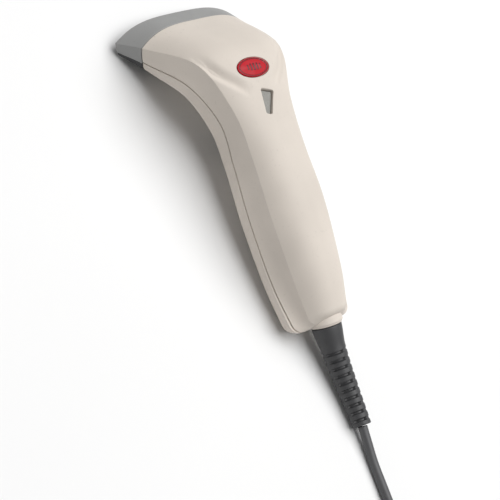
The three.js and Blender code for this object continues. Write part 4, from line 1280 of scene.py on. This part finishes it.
def make_tie():
    """A strap over the coil, rounded at its corners, its free end lapped on top."""
    low, high, top, thick, half = 16.15, 31.05, 18.3, 0.8, 4.5
    turn = ENTRY - math.radians(250)
    out = np.array([math.cos(turn), math.sin(turn), 0])
    side = np.array([-out[1], out[0], 0])
    centre = np.array([*COIL_CENTRE, 0])

    def ribbon(path, name):
        """A flat strap swept along a path of places out from the coil's centre and up."""
        path = np.array(path)
        tangent = np.gradient(path, axis=0)
        tangent /= np.linalg.norm(tangent, axis=1, keepdims=True)
        normal = np.stack([-tangent[:, 1], tangent[:, 0]], 1)
        section = plate_outline(2 * half, thick, 0.35)
        rows = []
        for p, n in zip(path, normal):
            flat = p + n * section[:, 1:2]
            rows.append(centre + flat[:, :1] * out + section[:, :1] * side + flat[:, 1:] * (0, 0, 1))
        points, faces = rings(np.array(rows))
        return new_object(name, points * MM, faces, "strap")

    off, corner = thick / 2, 2.6
    path = [(low - off, z) for z in np.linspace(0.05, top - corner, 10)]
    path += arc((low - off + corner, top + off - corner), corner, 180, 90, 8)[1:]
    path += [(x, top + off + 0.12 * math.sin(3 * x)) for x in np.linspace(low + 3, high - 3, 24)]
    path += arc((high + off - corner, top + off - corner), corner, 90, 0, 8)
    path += [(high + off, z) for z in np.linspace(top - corner - 0.5, 0.05, 10)]
    lap = top + off + thick + 0.1
    tail = [(x, lap + 0.02 * max(x - 20, 0) ** 2) for x in np.linspace(18.5, 27, 16)]
    return smooth(fuse(ribbon(path, "strap_band"), ribbon(tail, "tail")), 40)


tie = show(make_tie(), "housing", "strap", "cable_tie")

# ---- Inner pieces ----

INNER = {
    "gasket": ("window_gasket",),
    "pin": ("trigger_pin",),
    "board": ("main_board", "led_board", "sensor_board"),
    "chip": ("decoder_chip", "memory_chip", "ccd_sensor", "lens_barrel"),
    "can": ("crystal",),
    "black": ("capacitor", "buzzer", "interface_jack", "trigger_switch", "optics_chassis"),
    "clear": ("modular_plug", "switch_plunger", "status_led", "light_pipe", "light_diffuser"),
    "mirror": ("folding_mirror",),
    "led": tuple(f"led_{k}" for k in range(1, 7)),
    "cable": ("inner_lead",),
}
for key, names in INNER.items():
    for name in names:
        node = frame["nodes"][name]
        node.data.materials.clear()
        node.data.materials.append(MATERIALS[key])

# ---- Floor and light ----


def make_floor():
    """A pale sweep, flat under the scanner and curving up far behind it."""
    sides, reach, curve = 96, 3.0, 1.5
    bend = np.linspace(0.15, 1.5, 10)
    radius = np.concatenate([[0.02], np.linspace(0.3, reach, 10), reach + curve * np.sin(bend)])
    height = np.concatenate([np.zeros(11), curve * (1 - np.cos(bend))])
    rows = [np.column_stack([circle(sides) * r, np.full(sides, h)]) for r, h in zip(radius, height)]
    points = np.array(rows).reshape(-1, 3)
    faces = grid_faces(len(rows), sides, closed=True) + [tuple(range(sides - 1, -1, -1))]
    nodes = Nodes("floor_pale")
    drift = nodes.spread(nodes.noise(400, 2), 0, 1)
    nodes.feed("Base Color", nodes.blend(drift, (0.86, 0.86, 0.86), (0.89, 0.89, 0.885)))
    nodes.set(Roughness=0.9)
    MATERIALS["floor"] = nodes.material
    obj = new_object("floor", points, faces, "floor")
    smooth(obj)


def area_light(name, place, size, power, target=(0, 0, 0.02)):
    """A square light turned towards the scanner."""
    data = bpy.data.lights.new(name, "AREA")
    data.shape = "SQUARE"
    data.size = size
    data.energy = power
    obj = bpy.data.objects.new(name, data)
    aim = Vector(target) - Vector(place)
    obj.matrix_world = Matrix.Translation(place) @ aim.to_track_quat("-Z", "Y").to_matrix().to_4x4()
    bpy.context.scene.collection.objects.link(obj)


make_floor()
area_light("key", (0.0, -0.72, 2.3), 2.6, 81)
area_light("front", (1.8, -0.2, 0.9), 1.2, 3)
area_light("fill", (0.2, 1.9, 0.3), 1.2, 3)
world = bpy.data.worlds.new("studio")
world.use_nodes = True
world.node_tree.nodes["Background"].inputs["Color"].default_value = (1, 1, 1, 1)
world.node_tree.nodes["Background"].inputs["Strength"].default_value = 0.13
bpy.context.scene.world = world
bpy.context.scene.view_settings.view_transform = "Standard"
